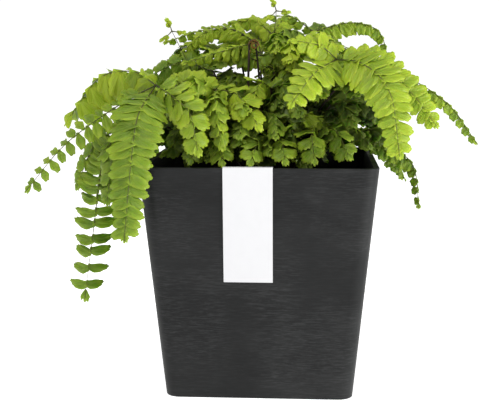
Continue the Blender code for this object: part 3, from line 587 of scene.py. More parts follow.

# Each row: node, (root angle in degrees, root radius), stipe knots up to the fork, and for each pinna
# the points from the fork to the tip, the leaflets' length, their upper face's way, habit and tone;
# the tone paints shade on the fronds inside the plant and light on those at its top, besides their age.
SHOWN_FRONDS = [
    ("frond_left_front", (205.0, 0.026),
     [(-0.050, -0.036, 0.240), (-0.088, -0.062, 0.266)],
     [([(-0.098, -0.096, 0.242), (-0.101, -0.117, 0.204), (-0.106, -0.125, 0.143)], 0.0265, FRONT,
       "comb", 0.47),
      ([(-0.070, -0.084, 0.257), (-0.055, -0.099, 0.244), (-0.048, -0.106, 0.215)], 0.0230, FORWARD,
       "broad", 0.62),
      ([(-0.116, -0.070, 0.251), (-0.166, -0.062, 0.216), (-0.205, -0.052, 0.173)], 0.0185, LEFTWARD,
       "sparse", 0.56),
      ([(-0.108, -0.050, 0.277), (-0.140, -0.036, 0.272), (-0.169, -0.030, 0.238)], 0.0325, LEFT_ABOVE,
       "weeping", 0.80)]),
    ("frond_left_low", (185.0, 0.034),
     [(-0.078, -0.026, 0.226), (-0.120, -0.036, 0.228)],
     [([(-0.137, -0.044, 0.202), (-0.146, -0.050, 0.140), (-0.155, -0.050, 0.078)], 0.0235, FORWARD,
       "crescent", 0.44),
      ([(-0.146, -0.034, 0.214), (-0.164, -0.030, 0.176)], 0.0170, LEFTWARD, "broad", 0.46),
      ([(-0.124, -0.064, 0.216), (-0.128, -0.078, 0.170)], 0.0200, LEFTWARD, "broad", 0.38)]),
    ("frond_centre_left", (235.0, 0.016),
     [(-0.024, -0.036, 0.236), (-0.038, -0.048, 0.262)],
     [([(-0.018, -0.066, 0.258), (-0.001, -0.080, 0.234)], 0.0205, FRONT, "broad", 0.80),
      ([(-0.036, -0.076, 0.252), (-0.030, -0.090, 0.218)], 0.0180, FRONT, "fan", 0.62),
      ([(-0.060, -0.040, 0.270), (-0.082, -0.026, 0.262)], 0.0180, FORWARD, "broad", 0.78)]),
    ("frond_top_left", (120.0, 0.006),
     [(-0.004, 0.010, 0.262), (-0.008, 0.016, 0.302)],
     [([(-0.030, 0.019, 0.314), (-0.056, 0.021, 0.310), (-0.082, 0.022, 0.286)], 0.0165, FRONT,
       "drooping", 0.74),
      ([(-0.030, -0.006, 0.296), (-0.070, -0.014, 0.284)], 0.0145, FRONT, "drooping", 0.76),
      ([(-0.042, 0.036, 0.316), (-0.094, 0.036, 0.302)], 0.0140, FRONT, "drooping", 0.68)]),
    ("frond_right_front", (310.0, 0.020),
     [(0.022, -0.042, 0.226), (0.064, -0.062, 0.288)],
     [([(0.050, -0.070, 0.299), (0.031, -0.076, 0.303)], 0.0175, FRONT, "comb", 0.80),
      ([(0.046, -0.090, 0.277), (0.028, -0.108, 0.254)], 0.0230, FRONT, "comb", 0.76),
      ([(0.086, -0.084, 0.284), (0.106, -0.104, 0.262), (0.114, -0.116, 0.212)], 0.0250, CLIMBING,
       "comb", 0.73),
      ([(0.096, -0.066, 0.284), (0.124, -0.074, 0.262), (0.146, -0.080, 0.234)], 0.0210, INWARD,
       "comb", 0.74)]),
    ("frond_right_far", (345.0, 0.026),
     [(0.052, -0.016, 0.246), (0.086, -0.024, 0.282)],
     [([(0.118, -0.026, 0.276), (0.160, -0.030, 0.250), (0.187, -0.034, 0.214)], 0.0150, ARCHING,
       "fringe", 0.54),
      ([(0.112, -0.004, 0.274), (0.138, 0.010, 0.246)], 0.0130, RIGHT_ABOVE, "drooping", 0.44)]),
    ("frond_top_right", (40.0, 0.008),
     [(0.020, 0.020, 0.266), (0.044, 0.034, 0.312)],
     [([(0.078, 0.040, 0.320), (0.104, 0.040, 0.312), (0.114, 0.037, 0.284)], 0.0150, ARCHING,
       "fringe", 0.60),
      ([(0.024, 0.022, 0.325), (0.002, 0.016, 0.324)], 0.0105, FRONT, "drooping", 0.46),
      ([(0.056, 0.062, 0.316), (0.076, 0.086, 0.292)], 0.0168, RIGHT_ABOVE, "fan", 0.40)]),
    ("frond_right_low", (350.0, 0.034),
     [(0.058, -0.014, 0.212), (0.080, -0.022, 0.222)],
     [([(0.108, -0.024, 0.213), (0.132, -0.026, 0.196), (0.138, -0.028, 0.158)], 0.0160, ARCHING,
       "fringe", 0.44),
      ([(0.104, -0.002, 0.214), (0.124, 0.006, 0.184)], 0.0120, RIGHT_ABOVE, "drooping", 0.34)]),
    ("frond_front_left", (250.0, 0.030),
     [(-0.026, -0.036, 0.204), (-0.036, -0.044, 0.222)],
     [([(-0.048, -0.064, 0.222), (-0.056, -0.084, 0.206)], 0.0185, FORWARD, "broad", 0.32),
      ([(-0.032, -0.068, 0.221), (-0.030, -0.088, 0.205)], 0.0185, FORWARD, "broad", 0.48),
      ([(-0.060, -0.050, 0.222), (-0.082, -0.056, 0.208)], 0.0156, ABOVE, "fan", 0.34)]),
    ("frond_front", (275.0, 0.030),
     [(0.006, -0.038, 0.206), (0.010, -0.044, 0.222)],
     [([(0.000, -0.068, 0.220), (-0.006, -0.087, 0.205)], 0.0185, FORWARD, "broad", 0.44),
      ([(0.018, -0.070, 0.222), (0.022, -0.088, 0.206)], 0.0180, FORWARD, "broad", 0.50)]),
    ("frond_front_right", (305.0, 0.032),
     [(0.034, -0.034, 0.210), (0.048, -0.042, 0.230)],
     [([(0.044, -0.068, 0.226), (0.046, -0.088, 0.207)], 0.0185, FORWARD, "broad", 0.46),
      ([(0.064, -0.062, 0.228), (0.074, -0.084, 0.210)], 0.0185, FORWARD, "broad", 0.42),
      ([(0.074, -0.044, 0.234), (0.092, -0.052, 0.216)], 0.0156, RIGHT_ABOVE, "fan", 0.24)]),
    ("frond_centre", (290.0, 0.010),
     [(0.006, -0.016, 0.236), (0.008, -0.024, 0.262)],
     [([(0.000, -0.044, 0.268), (-0.006, -0.060, 0.258)], 0.0185, FRONT, "broad", 0.74),
      ([(0.022, -0.046, 0.264), (0.034, -0.070, 0.244)], 0.0168, FRONT, "fan", 0.28),
      ([(0.024, -0.014, 0.276), (0.040, -0.010, 0.278)], 0.0156, ABOVE, "fan", 0.42)]),
    ("frond_centre_right", (330.0, 0.016),
     [(0.030, -0.002, 0.244), (0.050, -0.004, 0.276)],
     [([(0.066, -0.026, 0.280), (0.078, -0.046, 0.266)], 0.0168, FRONT_RIGHT, "fan", 0.42),
      ([(0.078, 0.004, 0.288), (0.102, 0.010, 0.276)], 0.0174, RIGHT_ABOVE, "fan", 0.55),
      ([(0.052, -0.024, 0.286), (0.048, -0.042, 0.276)], 0.0150, FRONT, "fan", 0.40)]),
    ("frond_right", (5.0, 0.030),
     [(0.056, 0.006, 0.226), (0.076, 0.008, 0.242)],
     [([(0.104, -0.012, 0.240), (0.124, -0.016, 0.216)], 0.0162, RIGHT_ABOVE, "fan", 0.22),
      ([(0.106, 0.014, 0.242), (0.126, 0.018, 0.212)], 0.0156, RIGHT_ABOVE, "fan", 0.24)]),
    ("frond_inner_right", (340.0, 0.022),
     [(0.042, -0.018, 0.226), (0.060, -0.033, 0.248)],
     [([(0.070, -0.052, 0.250), (0.078, -0.070, 0.236)], 0.0168, FRONT, "fan", 0.18),
      ([(0.084, -0.042, 0.250), (0.106, -0.048, 0.238)], 0.0162, RIGHT_ABOVE, "fan", 0.18)]),
    ("frond_left", (178.0, 0.034),
     [(-0.056, -0.002, 0.208), (-0.072, -0.002, 0.223)],
     [([(-0.104, 0.003, 0.228), (-0.134, 0.004, 0.202)], 0.0144, LEFT_ABOVE, "fan", 0.42),
      ([(-0.100, -0.015, 0.220), (-0.116, -0.016, 0.192)], 0.0132, LEFT_ABOVE, "fan", 0.36)]),
    ("frond_upper_left", (165.0, 0.014),
     [(-0.030, 0.006, 0.244), (-0.046, 0.012, 0.276)],
     [([(-0.076, 0.012, 0.284), (-0.110, 0.012, 0.268)], 0.0200, LEFTWARD, "broad", 0.42),
      ([(-0.066, 0.030, 0.286), (-0.082, 0.044, 0.277)], 0.0190, LEFTWARD, "broad", 0.44)]),
    ("frond_inner_left", (205.0, 0.018),
     [(-0.036, -0.012, 0.226), (-0.056, -0.018, 0.242)],
     [([(-0.084, -0.024, 0.244), (-0.112, -0.030, 0.238)], 0.0156, LEFT_ABOVE, "fan", 0.36),
      ([(-0.066, -0.038, 0.234), (-0.076, -0.056, 0.218)], 0.0156, FRONT, "fan", 0.30)]),
    ("frond_inner_front", (265.0, 0.018),
     [(0.000, -0.022, 0.222), (-0.002, -0.036, 0.240)],
     [([(-0.012, -0.056, 0.240), (-0.016, -0.076, 0.226)], 0.0168, FRONT, "fan", 0.38),
      ([(0.012, -0.060, 0.240), (0.014, -0.080, 0.226)], 0.0168, FRONT, "fan", 0.34)]),
    ("frond_top", (40.0, 0.015),
     [(0.022, 0.008, 0.262), (0.026, 0.004, 0.296)],
     [([(0.044, -0.002, 0.306), (0.066, -0.006, 0.298)], 0.0168, FRONT, "fan", 0.90),
      ([(0.026, -0.016, 0.302), (0.024, -0.036, 0.288)], 0.0156, FRONT, "fan", 0.88)]),
    ("frond_top_rear", (85.0, 0.010),
     [(0.006, 0.021, 0.276), (0.006, 0.032, 0.310)],
     [([(-0.012, 0.054, 0.323), (-0.034, 0.064, 0.320)], 0.0156, FRONT, "fan", 0.78),
      ([(0.018, 0.062, 0.325), (0.026, 0.088, 0.320)], 0.0156, ABOVE, "fan", 0.74)]),
]

# Tiers of fronds on the sides and back, from the outside in.  Knee, fork and bend are
# (distance from the axis, height); the bend's and the tip's distances are measured from the rim,
# and at a corner of the planter the rim counts as no further out than rim_limit.
INNER_RIM_LIMIT = 1.25 * RIM_HALF
# Tones rise from the outer, lower tier to the inner, higher one: painted light on the fronds at the top
# and painted shade on the low ones.
TIERS = {
    "outer": {"root": 0.033, "knee": (0.052, 0.208), "fork": (0.070, 0.220), "bend": (0.003, 0.217),
              "tip": (0.030, 0.178), "length": 0.0160, "spread": 15.0, "rim_limit": 2.0 * RIM_HALF,
              "habit": "drooping", "tone": 0.46},
    "middle": {"root": 0.025, "knee": (0.038, 0.226), "fork": (0.056, 0.248), "bend": (-0.012, 0.254),
               "tip": (0.026, 0.222), "length": 0.0185, "spread": 15.0, "rim_limit": INNER_RIM_LIMIT,
               "habit": "fan", "tone": 0.58},
    "inner": {"root": 0.015, "knee": (0.018, 0.240), "fork": (0.030, 0.282), "bend": (-0.038, 0.302),
              "tip": (-0.002, 0.280), "length": 0.0175, "spread": 17.0, "rim_limit": INNER_RIM_LIMIT,
              "habit": "comb", "tone": 0.70},
}
TIER_FRONDS = {
    "outer": [("right_rear", 24.0), ("rear_right", 57.0), ("rear", 90.0), ("rear_left", 123.0),
              ("left_rear", 156.0)],
    "middle": [("right_rear", 33.0), ("rear_right", 66.0), ("rear", 99.0), ("rear_left", 132.0),
               ("left", 168.0)],
    "inner": [("rear_right", 62.0), ("rear", 98.0), ("rear_left", 134.0)],
}
HIGHER_FROND = {"raise": 0.010, "further": 0.008}    # what every second frond of a tier adds
PINNA_LEAN = (0.45, 1.0)     # outward and upward parts of the way that a tier's leaflets look


def around_axis(azimuth, radius, height):
    """Point at an azimuth and radius from the planter's axis."""
    angle = math.radians(azimuth)
    return (radius * math.cos(angle), radius * math.sin(angle), height)


def rim_radius(azimuth, limit):
    """Distance from the axis to the rim of the square planter at an azimuth, corners rounded."""
    angle = math.radians(azimuth)
    corner = bpy.context.scene.fern_planter.corner_radius
    square = RIM_HALF / max(abs(math.cos(angle)), abs(math.sin(angle)))
    diagonal = RIM_HALF * math.sqrt(2.0) - (math.sqrt(2.0) - 1.0) * corner
    return min(square, diagonal, limit)


def tier_frond(tier, azimuth, higher):
    """Root, stipe knots and three pinnae of a frond that leans outwards at an azimuth."""
    plan = TIERS[tier]
    lift = HIGHER_FROND["raise"] if higher else 0.0
    stretch = HIGHER_FROND["further"] if higher else 0.0
    knots = [around_axis(azimuth, plan[joint][0], plan[joint][1] + lift) for joint in ("knee", "fork")]
    pinnae = []
    for turn in (-1.0, 0.0, 1.0):
        heading = azimuth + turn * plan["spread"]
        rim = rim_radius(heading, plan["rim_limit"])
        points = [around_axis(heading, rim + plan[joint][0] + stretch, plan[joint][1] + lift)
                  for joint in ("bend", "tip")]
        facing = around_axis(heading, *PINNA_LEAN)
        pinnae.append((points, plan["length"], facing, plan["habit"], plan["tone"]))
    return (azimuth, plan["root"]), knots, pinnae


def crown_surface(radius):
    """Height of the crown's domed surface at a distance from the middle."""
    share = min(radius / CROWN_RADIUS, 1.0)
    return SOIL_HIGH.z + CROWN_HEIGHT * math.sqrt(1.0 - share * share)


def stipe_route(root, knots):
    """Stipe points from its foot on the crown through the given knots."""
    angle, radius = math.radians(root[0]), root[1]
    foot = Vector((radius * math.cos(angle), radius * math.sin(angle), crown_surface(radius)))
    return [foot + UP * STIPE_LIFT] + [Vector(knot) for knot in knots]


def smoothstep(value):
    """Smooth rise from 0 to 1."""
    value = min(max(value, 0.0), 1.0)
    return value * value * (3.0 - 2.0 * value)


FULL_WIDTH_AT = 0.55         # share of its length at which a leaflet has its full width
PLAIN_BASE = 0.16            # share of the margin, at either end, that has no lobes
LOBE_ROUNDNESS = 0.65


def leaflet_outline(habit, points):
    """Margin of a leaflet of unit length and unit width, from its near to its far base corner.

    x runs from the attachment outwards, y towards the pinna's tip.
    """
    outline = []
    for index in range(points):
        share = index / (points - 1)
        turn = math.pi * (share - 0.5)
        power = 2.0 / habit["square"]
        x = max(math.cos(turn), 0.0) ** power
        y = 0.5 * math.copysign(abs(math.sin(turn)) ** power, turn)
        narrow = habit["base"] + (1.0 - habit["base"]) * smoothstep(x / FULL_WIDTH_AT)
        toothed = smoothstep((share - PLAIN_BASE) / 0.14) * smoothstep((1.0 - share) / PLAIN_BASE)
        lobe = abs(math.sin(math.pi * habit["lobes"] * share + 0.4)) ** LOBE_ROUNDNESS
        notch = 1.0 - habit["depth"] * toothed * (1.0 - lobe)
        outline.append((x * notch, y * narrow * notch))
    return outline


FOOT_TUCK = 0.0012           # how far a leaflet's foot runs under the rib
RING_REACHES = (0.42, 0.78, 1.0)     # rings of corners between a leaflet's foot and its margin
MARGIN_THINNING = 0.45       # share of its thickness that a leaflet loses at the margin
LEAFLET_DROOP = (0.06, 0.20)     # fall of the tip, as a share of the length
LEAFLET_CUP = (-0.10, 0.22)      # hollowness across, as a share of half the width
RUFFLES = 5.0                # half waves along the margin
RIDGE_HEIGHT = 0.012         # rise of the folds between lobes, as a share of the length


def leaflet_faces(points):
    """Faces of a closed leaflet: upper fan and rings, the same below, and the walls between."""
    rings = len(RING_REACHES)
    layer = 1 + rings * points
    faces = []

    def at(ring, index):
        return 1 + ring * points + index

    for index in range(points - 1):
        faces.append((0, at(0, index), at(0, index + 1)))
        for ring in range(rings - 1):
            faces.append((at(ring, index), at(ring + 1, index),
                          at(ring + 1, index + 1), at(ring, index + 1)))
    below = [tuple(layer + corner for corner in face[::-1]) for face in faces]
    border = [0] + [at(ring, 0) for ring in range(rings)]
    border += [at(rings - 1, index) for index in range(1, points)]
    border += [at(ring, points - 1) for ring in range(rings - 2, -1, -1)]
    walls = []
    for start, follow in zip(border, border[1:] + border[:1]):
        walls.append((follow, start, layer + start, layer + follow))
    return faces + below + walls


FACES_BY_POINTS = {}


def add_leaflet(weave, place, axis, ahead, normal, length, width, habit, tone, chance, points):
    """One lobed leaflet with real thickness; axis, ahead and normal are its own directions."""
    if points not in FACES_BY_POINTS:
        FACES_BY_POINTS[points] = leaflet_faces(points)
    faces = FACES_BY_POINTS[points]
    if axis.cross(ahead).dot(normal) < 0.0:
        faces = [face[::-1] for face in faces]
    thickness = bpy.context.scene.fern_leaf.leaf_thickness
    outline = leaflet_outline(habit, points)
    phase = chance.uniform(0.0, 2.0 * math.pi)
    droop = chance.uniform(*LEAFLET_DROOP)
    cup = chance.uniform(*LEAFLET_CUP)
    upper = [place]
    lower = [place - normal * thickness]
    reach_values = [0.0]
    around_values = [0.5]
    for reach in RING_REACHES:
        for index, (x, y) in enumerate(outline):
            share = index / (points - 1)
            x_now, y_now = x * reach, y * reach
            bend = habit["bow"] * x_now * x_now
            wave = habit["ruffle"] * math.sin(RUFFLES * math.pi * share + phase) * reach * reach
            ridge = RIDGE_HEIGHT * math.cos(2.0 * math.pi * habit["lobes"] * share) * reach
            height = (wave + ridge - droop * x_now * x_now) * length - 2.0 * cup * y_now ** 2 * width
            point = (place + axis * (x_now * length) + ahead * (y_now * width + bend * length)
                     + normal * height)
            upper.append(point)
            lower.append(point - normal * thickness * (1.0 - MARGIN_THINNING * reach))
            reach_values.append(reach)
            around_values.append(share)
    weave.add(upper + lower, faces, LEAF_SLOT, tone, reach_values * 2, around_values * 2)


def along_path(path):
    """Running lengths at the stations of a path."""
    lengths = [0.0]
    for start, end in zip(path, path[1:]):
        lengths.append(lengths[-1] + (end - start).length)
    return lengths


def at_length(path, lengths, distance):
    """Place and direction at a distance along a path."""
    distance = min(max(distance, 0.0), lengths[-1])
    for index in range(len(path) - 1):
        if distance <= lengths[index + 1]:
            break
    share = (distance - lengths[index]) / (lengths[index + 1] - lengths[index])
    before = path[max(index - 1, 0)]
    after = path[min(index + 2, len(path) - 1)]
    tangent = (path[index + 1] - path[index]).normalized() + 0.5 * (after - before).normalized()
    return path[index].lerp(path[index + 1], share), tangent.normalized()


LONGEST_AT = 0.25            # share of a pinna's length at which its leaflets are longest
FIRST_SIZE = 0.72            # length of the first leaflets, as a share of the longest


def leaflet_size(share, end):
    """Leaflet length along a pinna, as a share of the longest."""
    if share < LONGEST_AT:
        return FIRST_SIZE + (1.0 - FIRST_SIZE) * smoothstep(share / LONGEST_AT)
    return 1.0 - (1.0 - end) * ((share - LONGEST_AT) / (1.0 - LONGEST_AT)) ** 1.25


def turned(vector, axis, degrees):
    """Vector turned about an axis."""
    return Matrix.Rotation(math.radians(degrees), 3, axis) @ vector


def squared_to(vector, tangent):
    """Direction of a vector's part at right angles to a tangent."""
    return (vector - tangent * vector.dot(tangent)).normalized()


STATIONS_PER_SPAN = 8
RIB_TAPER = 0.62             # share of its radius that a rib loses by its tip
RIB_REACH = (0.66, 1.0)      # how green a rib is at its foot and tip
LAST_PAIR = 0.97             # share of the pinna where the pairs end
TIP_LEAFLET = 0.945          # share of the pinna where the leaflet at the tip starts
TIP_POINTS = 17              # corners of that leaflet's margin
PAIR_STAGGER = 0.12          # shift of a pair's leaflets, one forwards and one back, in pitches
SIZE_SPREAD = (0.90, 1.08)
WIDTH_SPREAD = (0.94, 1.08)


def grow_pinna(weave, fork, points, length, facing, habit_name, tone, chance):
    """Rib of a pinna and its leaflets in pairs, with one at the tip."""
    habit = HABITS[habit_name]
    first, uneven, vary = habit["first"], habit["uneven"], habit["vary"]
    facing = Vector(facing)
    path = smooth_path([fork] + [Vector(point) for point in points], STATIONS_PER_SPAN * len(points) + 1)
    lengths = along_path(path)
    total = lengths[-1]
    rib = bpy.context.scene.fern_leaf.rib_radius
    radii = [rib * (1.0 - RIB_TAPER * distance / total) for distance in lengths]
    add_tube(weave, path, radii, tone, *RIB_REACH, sides=6)
    pairs = max(3, round(total * (1.0 - first) / habit["pitch"]))
    pitch = total / pairs
    for number in range(pairs):
        share = first + (LAST_PAIR - first) * (number / (pairs - 0.4)) ** habit["crowd"]
        size = leaflet_size(share, habit["end"])
        for way in (1.0, -1.0):
            distance = total * share + pitch * (PAIR_STAGGER * way + chance.uniform(-0.10, 0.10))
            place, tangent = at_length(path, lengths, distance)
            side = tangent.cross(squared_to(facing, tangent)) * way
            hang = habit["hang"] + uneven * chance.uniform(-0.10, 0.10)
            axis = turned(side, tangent, 90.0 * hang * way)
            normal = axis.cross(tangent) * way
            sweep = habit["sweep"] + habit["closing"] * share + uneven * chance.uniform(-7.0, 7.0)
            axis = turned(axis, normal, sweep * way)
            ahead = turned(tangent, normal, sweep * way)
            tilt = (habit["tilt"] + uneven * chance.uniform(-5.0, 5.0)) * way
            ahead = turned(ahead, axis, tilt)
            normal = turned(normal, axis, tilt)
            longest = length * size * chance.uniform(*SIZE_SPREAD)
            width = pitch * habit["wide"] * (0.55 + 0.45 * size) * chance.uniform(*WIDTH_SPREAD)
            shade = tone + vary * chance.uniform(-1.0, 1.0)
            add_leaflet(weave, place - axis * FOOT_TUCK, axis, ahead, normal, longest, width, habit,
                        shade, chance, habit["points"])
    place, tangent = at_length(path, lengths, total * TIP_LEAFLET)
    look = squared_to(facing, tangent)
    tip_length = max(0.5 * length * habit["end"] + 0.004, 0.006)
    add_leaflet(weave, place, tangent, look.cross(tangent), look, tip_length, 0.75 * tip_length,
                HABITS["fan"], tone + 0.05, chance, TIP_POINTS)


GOLDEN_TURN = math.radians(137.5)
SIDE_PINNAE_EACH = 6         # on a frond that the next table leaves out
SIDE_PINNAE = {"frond_right_front": 3, "frond_left_front": 3, "frond_left_low": 3, "frond_top_left": 3,
               "frond_top_right": 3, "frond_centre_left": 4, "frond_inner_rear": 2,
               "frond_inner_rear_left": 2, "frond_inner_rear_right": 3, "frond_top_rear": 2,
               "frond_top": 2, "sprig_left": 0, "sprig_top": 0}
SIDE_LOWEST = 0.55           # share of the stipe where the side pinnae start
SIDE_HIGHEST_EACH = 0.98     # and where they end, on a frond that the next table leaves out
SIDE_HIGHEST = {"frond_right_front": 0.78, "frond_left_front": 0.84}
SIDE_MARGIN = 0.014          # kept free between a side pinna's tip and the edge of the object's box
RIM_MARGIN = 0.010           # kept free between a side pinna and the planter's rim


def kept_in(point):
    """Point moved to where a side pinna's leaflets stay in the box and off the planter's walls."""
    low, high = Vector(CAD_BOX[0]), Vector(CAD_BOX[1])
    for axis in range(2):
        point[axis] = min(max(point[axis], low[axis] + SIDE_MARGIN), high[axis] - SIDE_MARGIN)
    point.z = min(point.z, high.z - 0.6 * SIDE_MARGIN)
    if max(abs(point.x), abs(point.y)) > RIM_HALF - 1.8 * RIM_MARGIN:
        point.z = max(point.z, POT_HIGH.z + 1.4 * RIM_MARGIN)
        point.y = max(point.y, -RIM_HALF)
    point.z = max(point.z, SOIL_HIGH.z + 2.0 * RIM_MARGIN)
    return point


def grow_side_pinnae(weave, path, node_name, tone, chance):
    """Short pinnae that leave the stipe below its fork, turned from one another."""
    count = SIDE_PINNAE.get(node_name, SIDE_PINNAE_EACH)
    highest = SIDE_HIGHEST.get(node_name, SIDE_HIGHEST_EACH)
    heading = chance.uniform(0.0, 2.0 * math.pi)
    for number in range(count):
        heading += GOLDEN_TURN + chance.uniform(-0.3, 0.3)
        share = SIDE_LOWEST + (highest - SIDE_LOWEST) * (number + chance.uniform(0.2, 0.8)) / count
        foot = path[round(share * (len(path) - 1))]
        reach = chance.uniform(0.026, 0.044)
        rise = chance.uniform(0.000, 0.012)
        drop = chance.uniform(0.004, 0.018)
        away = Vector((math.cos(heading), math.sin(heading), 0.0))
        middle = kept_in(foot + away * (0.55 * reach) + UP * rise)
        tip = kept_in(foot + away * reach + UP * (rise - drop))
        facing = (0.4 * away.x, 0.4 * away.y - 0.45, 1.0)
        length = chance.uniform(0.0145, 0.0190)
        # Side pinnae sit below the forks, inside the plant: their lower tone is painted shade.
        shade = tone - 0.16 + chance.uniform(-0.10, 0.08)
        grow_pinna(weave, foot, [middle, tip], length, facing, "side", shade, chance)


FORK_RADIUS = 1.25           # a stipe's radius at its fork, as a share of the rib's


def build_frond_piece(node_name, root, knots, pinnae, slot="leaf", thin=1.0):
    """One leafy frond that stands for its CAD node."""
    chance = random.Random("leaves of " + node_name)
    leaf = bpy.context.scene.fern_leaf
    weave = Weave()
    path = smooth_path(stipe_route(root, knots), 14)
    steps = len(path) - 1
    foot, top = thin * leaf.stipe_radius, thin * leaf.rib_radius * FORK_RADIUS
    radii = [foot + (top - foot) * index / steps for index in range(steps + 1)]
    # The stipe takes its pinnae's mean tone, with their painted light and shade.
    tone = sum(pinna[-1] for pinna in pinnae) / len(pinnae)
    add_tube(weave, path, radii, tone, 0.0, 0.5)
    for pinna in pinnae:
        grow_pinna(weave, path[-1], *pinna, chance)
    grow_side_pinnae(weave, path, node_name, tone, chance)
    mesh = weave.mesh(node_name + "_leafy")
    add_piece(node_name + "_leafy", mesh, [slot + "_look", "polished_stalk"], slot, node_name)


COIL_STEPS = 30
COIL_TURNS = 1.25
COIL_TIGHTENING = 0.72       # share of its radius that a coil loses by its end
COIL_FORWARD = 0.0040        # how far a coil's end stands in front of its start
CROZIER_RADII = (0.0012, 0.0007)
BUD_LENGTH, BUD_WIDTH, BUD_POINTS = 0.0027, 0.0024, 9


def build_crozier_piece(node_name, root, knots, curl_radius, lean, slot):
    """Unrolling young frond: a stalk that ends in a coil with scaly buds on it."""
    chance = random.Random("coil of " + node_name)
    weave = Weave()
    route = smooth_path(stipe_route(root, knots), 16)
    coil = []
    for step in range(1, COIL_STEPS + 1):
        share = step / COIL_STEPS
        angle = 2.0 * math.pi * COIL_TURNS * share
        radius = curl_radius * (1.0 - COIL_TIGHTENING * share)
        sideways = lean * (curl_radius - radius * math.cos(angle))
        coil.append(route[-1] + Vector((sideways, -COIL_FORWARD * share, radius * math.sin(angle))))
    path = route + coil
    foot, end = CROZIER_RADII
    radii = [foot + (end - foot) * index / (len(path) - 1) for index in range(len(path))]
    add_tube(weave, path, radii, 0.7, 0.0, 1.0)
    for index in range(len(route) - 2, len(path) - 1):
        for way in (-1.0, 1.0):
            tangent = (path[index + 1] - path[index - 1]).normalized()
            look = Vector((0.0, way, 0.0))
            side = tangent.cross(look).normalized()
            axis = (look * 0.9 + side * chance.uniform(-0.5, 0.5) + tangent * 0.5).normalized()
            ahead = squared_to(tangent, axis)
            tone = 0.6 + chance.uniform(-0.1, 0.1)
            add_leaflet(weave, path[index] + look * 0.0004, axis, ahead, axis.cross(ahead), BUD_LENGTH,
                        BUD_WIDTH, HABITS["fan"], tone, chance, BUD_POINTS)
    mesh = weave.mesh(node_name + "_coil")
    add_piece(node_name + "_coil", mesh, [slot + "_look", "polished_stalk"], slot, node_name)


SPRIG_THINNESS = 0.32
SPRIG_LEAF = 0.0085          # reach of a sprig's sprays
SPRIG_LEAVES = ((-0.8, -0.7), (0.95, -0.1), (-0.3, 0.85))     # their ways, sideways and up


def build_sprig_piece(node_name, root, knots):
    """Hair-thin new stalk with three small sprays of leaflets at its top."""
    top = Vector(knots[-1])
    sprays = []
    for sideways, rise in SPRIG_LEAVES:
        middle = top + Vector((0.5 * sideways, -0.1, 0.6 * rise)) * SPRIG_LEAF
        tip = top + Vector((sideways, -0.25, rise)) * SPRIG_LEAF
        sprays.append(([middle, tip], 0.55 * SPRIG_LEAF, FRONT, "spray", 0.9))
    build_frond_piece(node_name, root, knots, sprays, "young_leaf", SPRIG_THINNESS)


# ---------------------------------------------------------------- planter, soil, crown, card

def pot_width(height):
    """Outer width of the planter at a height above its base."""
    planter = bpy.context.scene.fern_planter
    return planter.base_width + (2.0 * RIM_HALF - planter.base_width) * height / POT_HIGH.z


def tapered_block(bottom, top, inset, corner_radius, segments=14):
    """Square block with rounded upright corners that follows the planter's taper."""
    bm = bmesh.new()
    bmesh.ops.create_cube(bm, size=2.0)
    for vert in bm.verts:
        height = top if vert.co.z > 0.0 else bottom
        half = pot_width(height) / 2.0 - inset
        vert.co = Vector((math.copysign(half, vert.co.x), math.copysign(half, vert.co.y), height))
    middle = (top + bottom) / 2.0
    uprights = [edge for edge in bm.edges
                if min(vert.co.z for vert in edge.verts) < middle < max(vert.co.z for vert in edge.verts)]
    bmesh.ops.bevel(bm, geom=uprights, offset=corner_radius, segments=segments, profile=0.5,
                    affect='EDGES')
    return bm


def cut_away(obj, cutter_mesh):
    """Cut a shape out of an object and keep the result as its mesh."""
    cutter = add_object("cutter", cutter_mesh)
    cut = obj.modifiers.new("cut", 'BOOLEAN')
    cut.operation = 'DIFFERENCE'
    cut.solver = 'EXACT'
    cut.object = cutter
    bpy.context.view_layer.update()
    mesh = bpy.data.meshes.new_from_object(obj.evaluated_get(bpy.context.evaluated_depsgraph_get()))
    obj.modifiers.clear()
    obj.data = mesh
    bpy.data.objects.remove(cutter, do_unlink=True)


def plug_cutter(radius, top):
    """Upright cylinder around the plug's axis that reaches below the planter."""
    bottom = -0.01
    bm = bmesh.new()
    bmesh.ops.create_cone(bm, cap_ends=True, segments=48, radius1=radius, radius2=radius,
                          depth=top - bottom)
    middle = (PLUG_CENTRE.x, PLUG_CENTRE.y, (top + bottom) / 2.0)
    bmesh.ops.translate(bm, verts=bm.verts[:], vec=middle)
    return mesh_from(bm, "plug_cutter")


DRAIN_RADIUS = 0.006
DRAIN_TOP = 0.016            # the drain's cutter ends here, above the planter's floor
SHARP_EDGE = 50.0            # degrees from which the planter's edges are rounded and stay sharp


def build_planter_piece():
    """Tapered square planter with rounded corners, rim and foot, and its drain hole."""
    planter = bpy.context.scene.fern_planter
    block = tapered_block(0.0, POT_HIGH.z, 0.0, planter.corner_radius)
    shell = add_object("planter_draft", mesh_from(block, "planter_shell"))
    inner = tapered_block(planter.floor, POT_HIGH.z + 0.01, planter.wall,
                          planter.corner_radius - planter.wall)
    cut_away(shell, mesh_from(inner, "cavity"))
    cut_away(shell, plug_cutter(DRAIN_RADIUS, DRAIN_TOP))
    rounding = shell.modifiers.new("edge_round", 'BEVEL')
    rounding.width = planter.edge_round
    rounding.segments = 4
    rounding.limit_method = 'ANGLE'
    rounding.angle_limit = math.radians(SHARP_EDGE)
    rounding.harden_normals = False
    mesh = smoothed(applied(shell), SHARP_EDGE)
    mesh.name = "planter_shell"
    piece = add_piece("planter_shell", mesh, ["streaked_plastic"], "planter", "planter")
    normals = piece.modifiers.new("even_normals", 'WEIGHTED_NORMAL')
    normals.keep_sharp = True


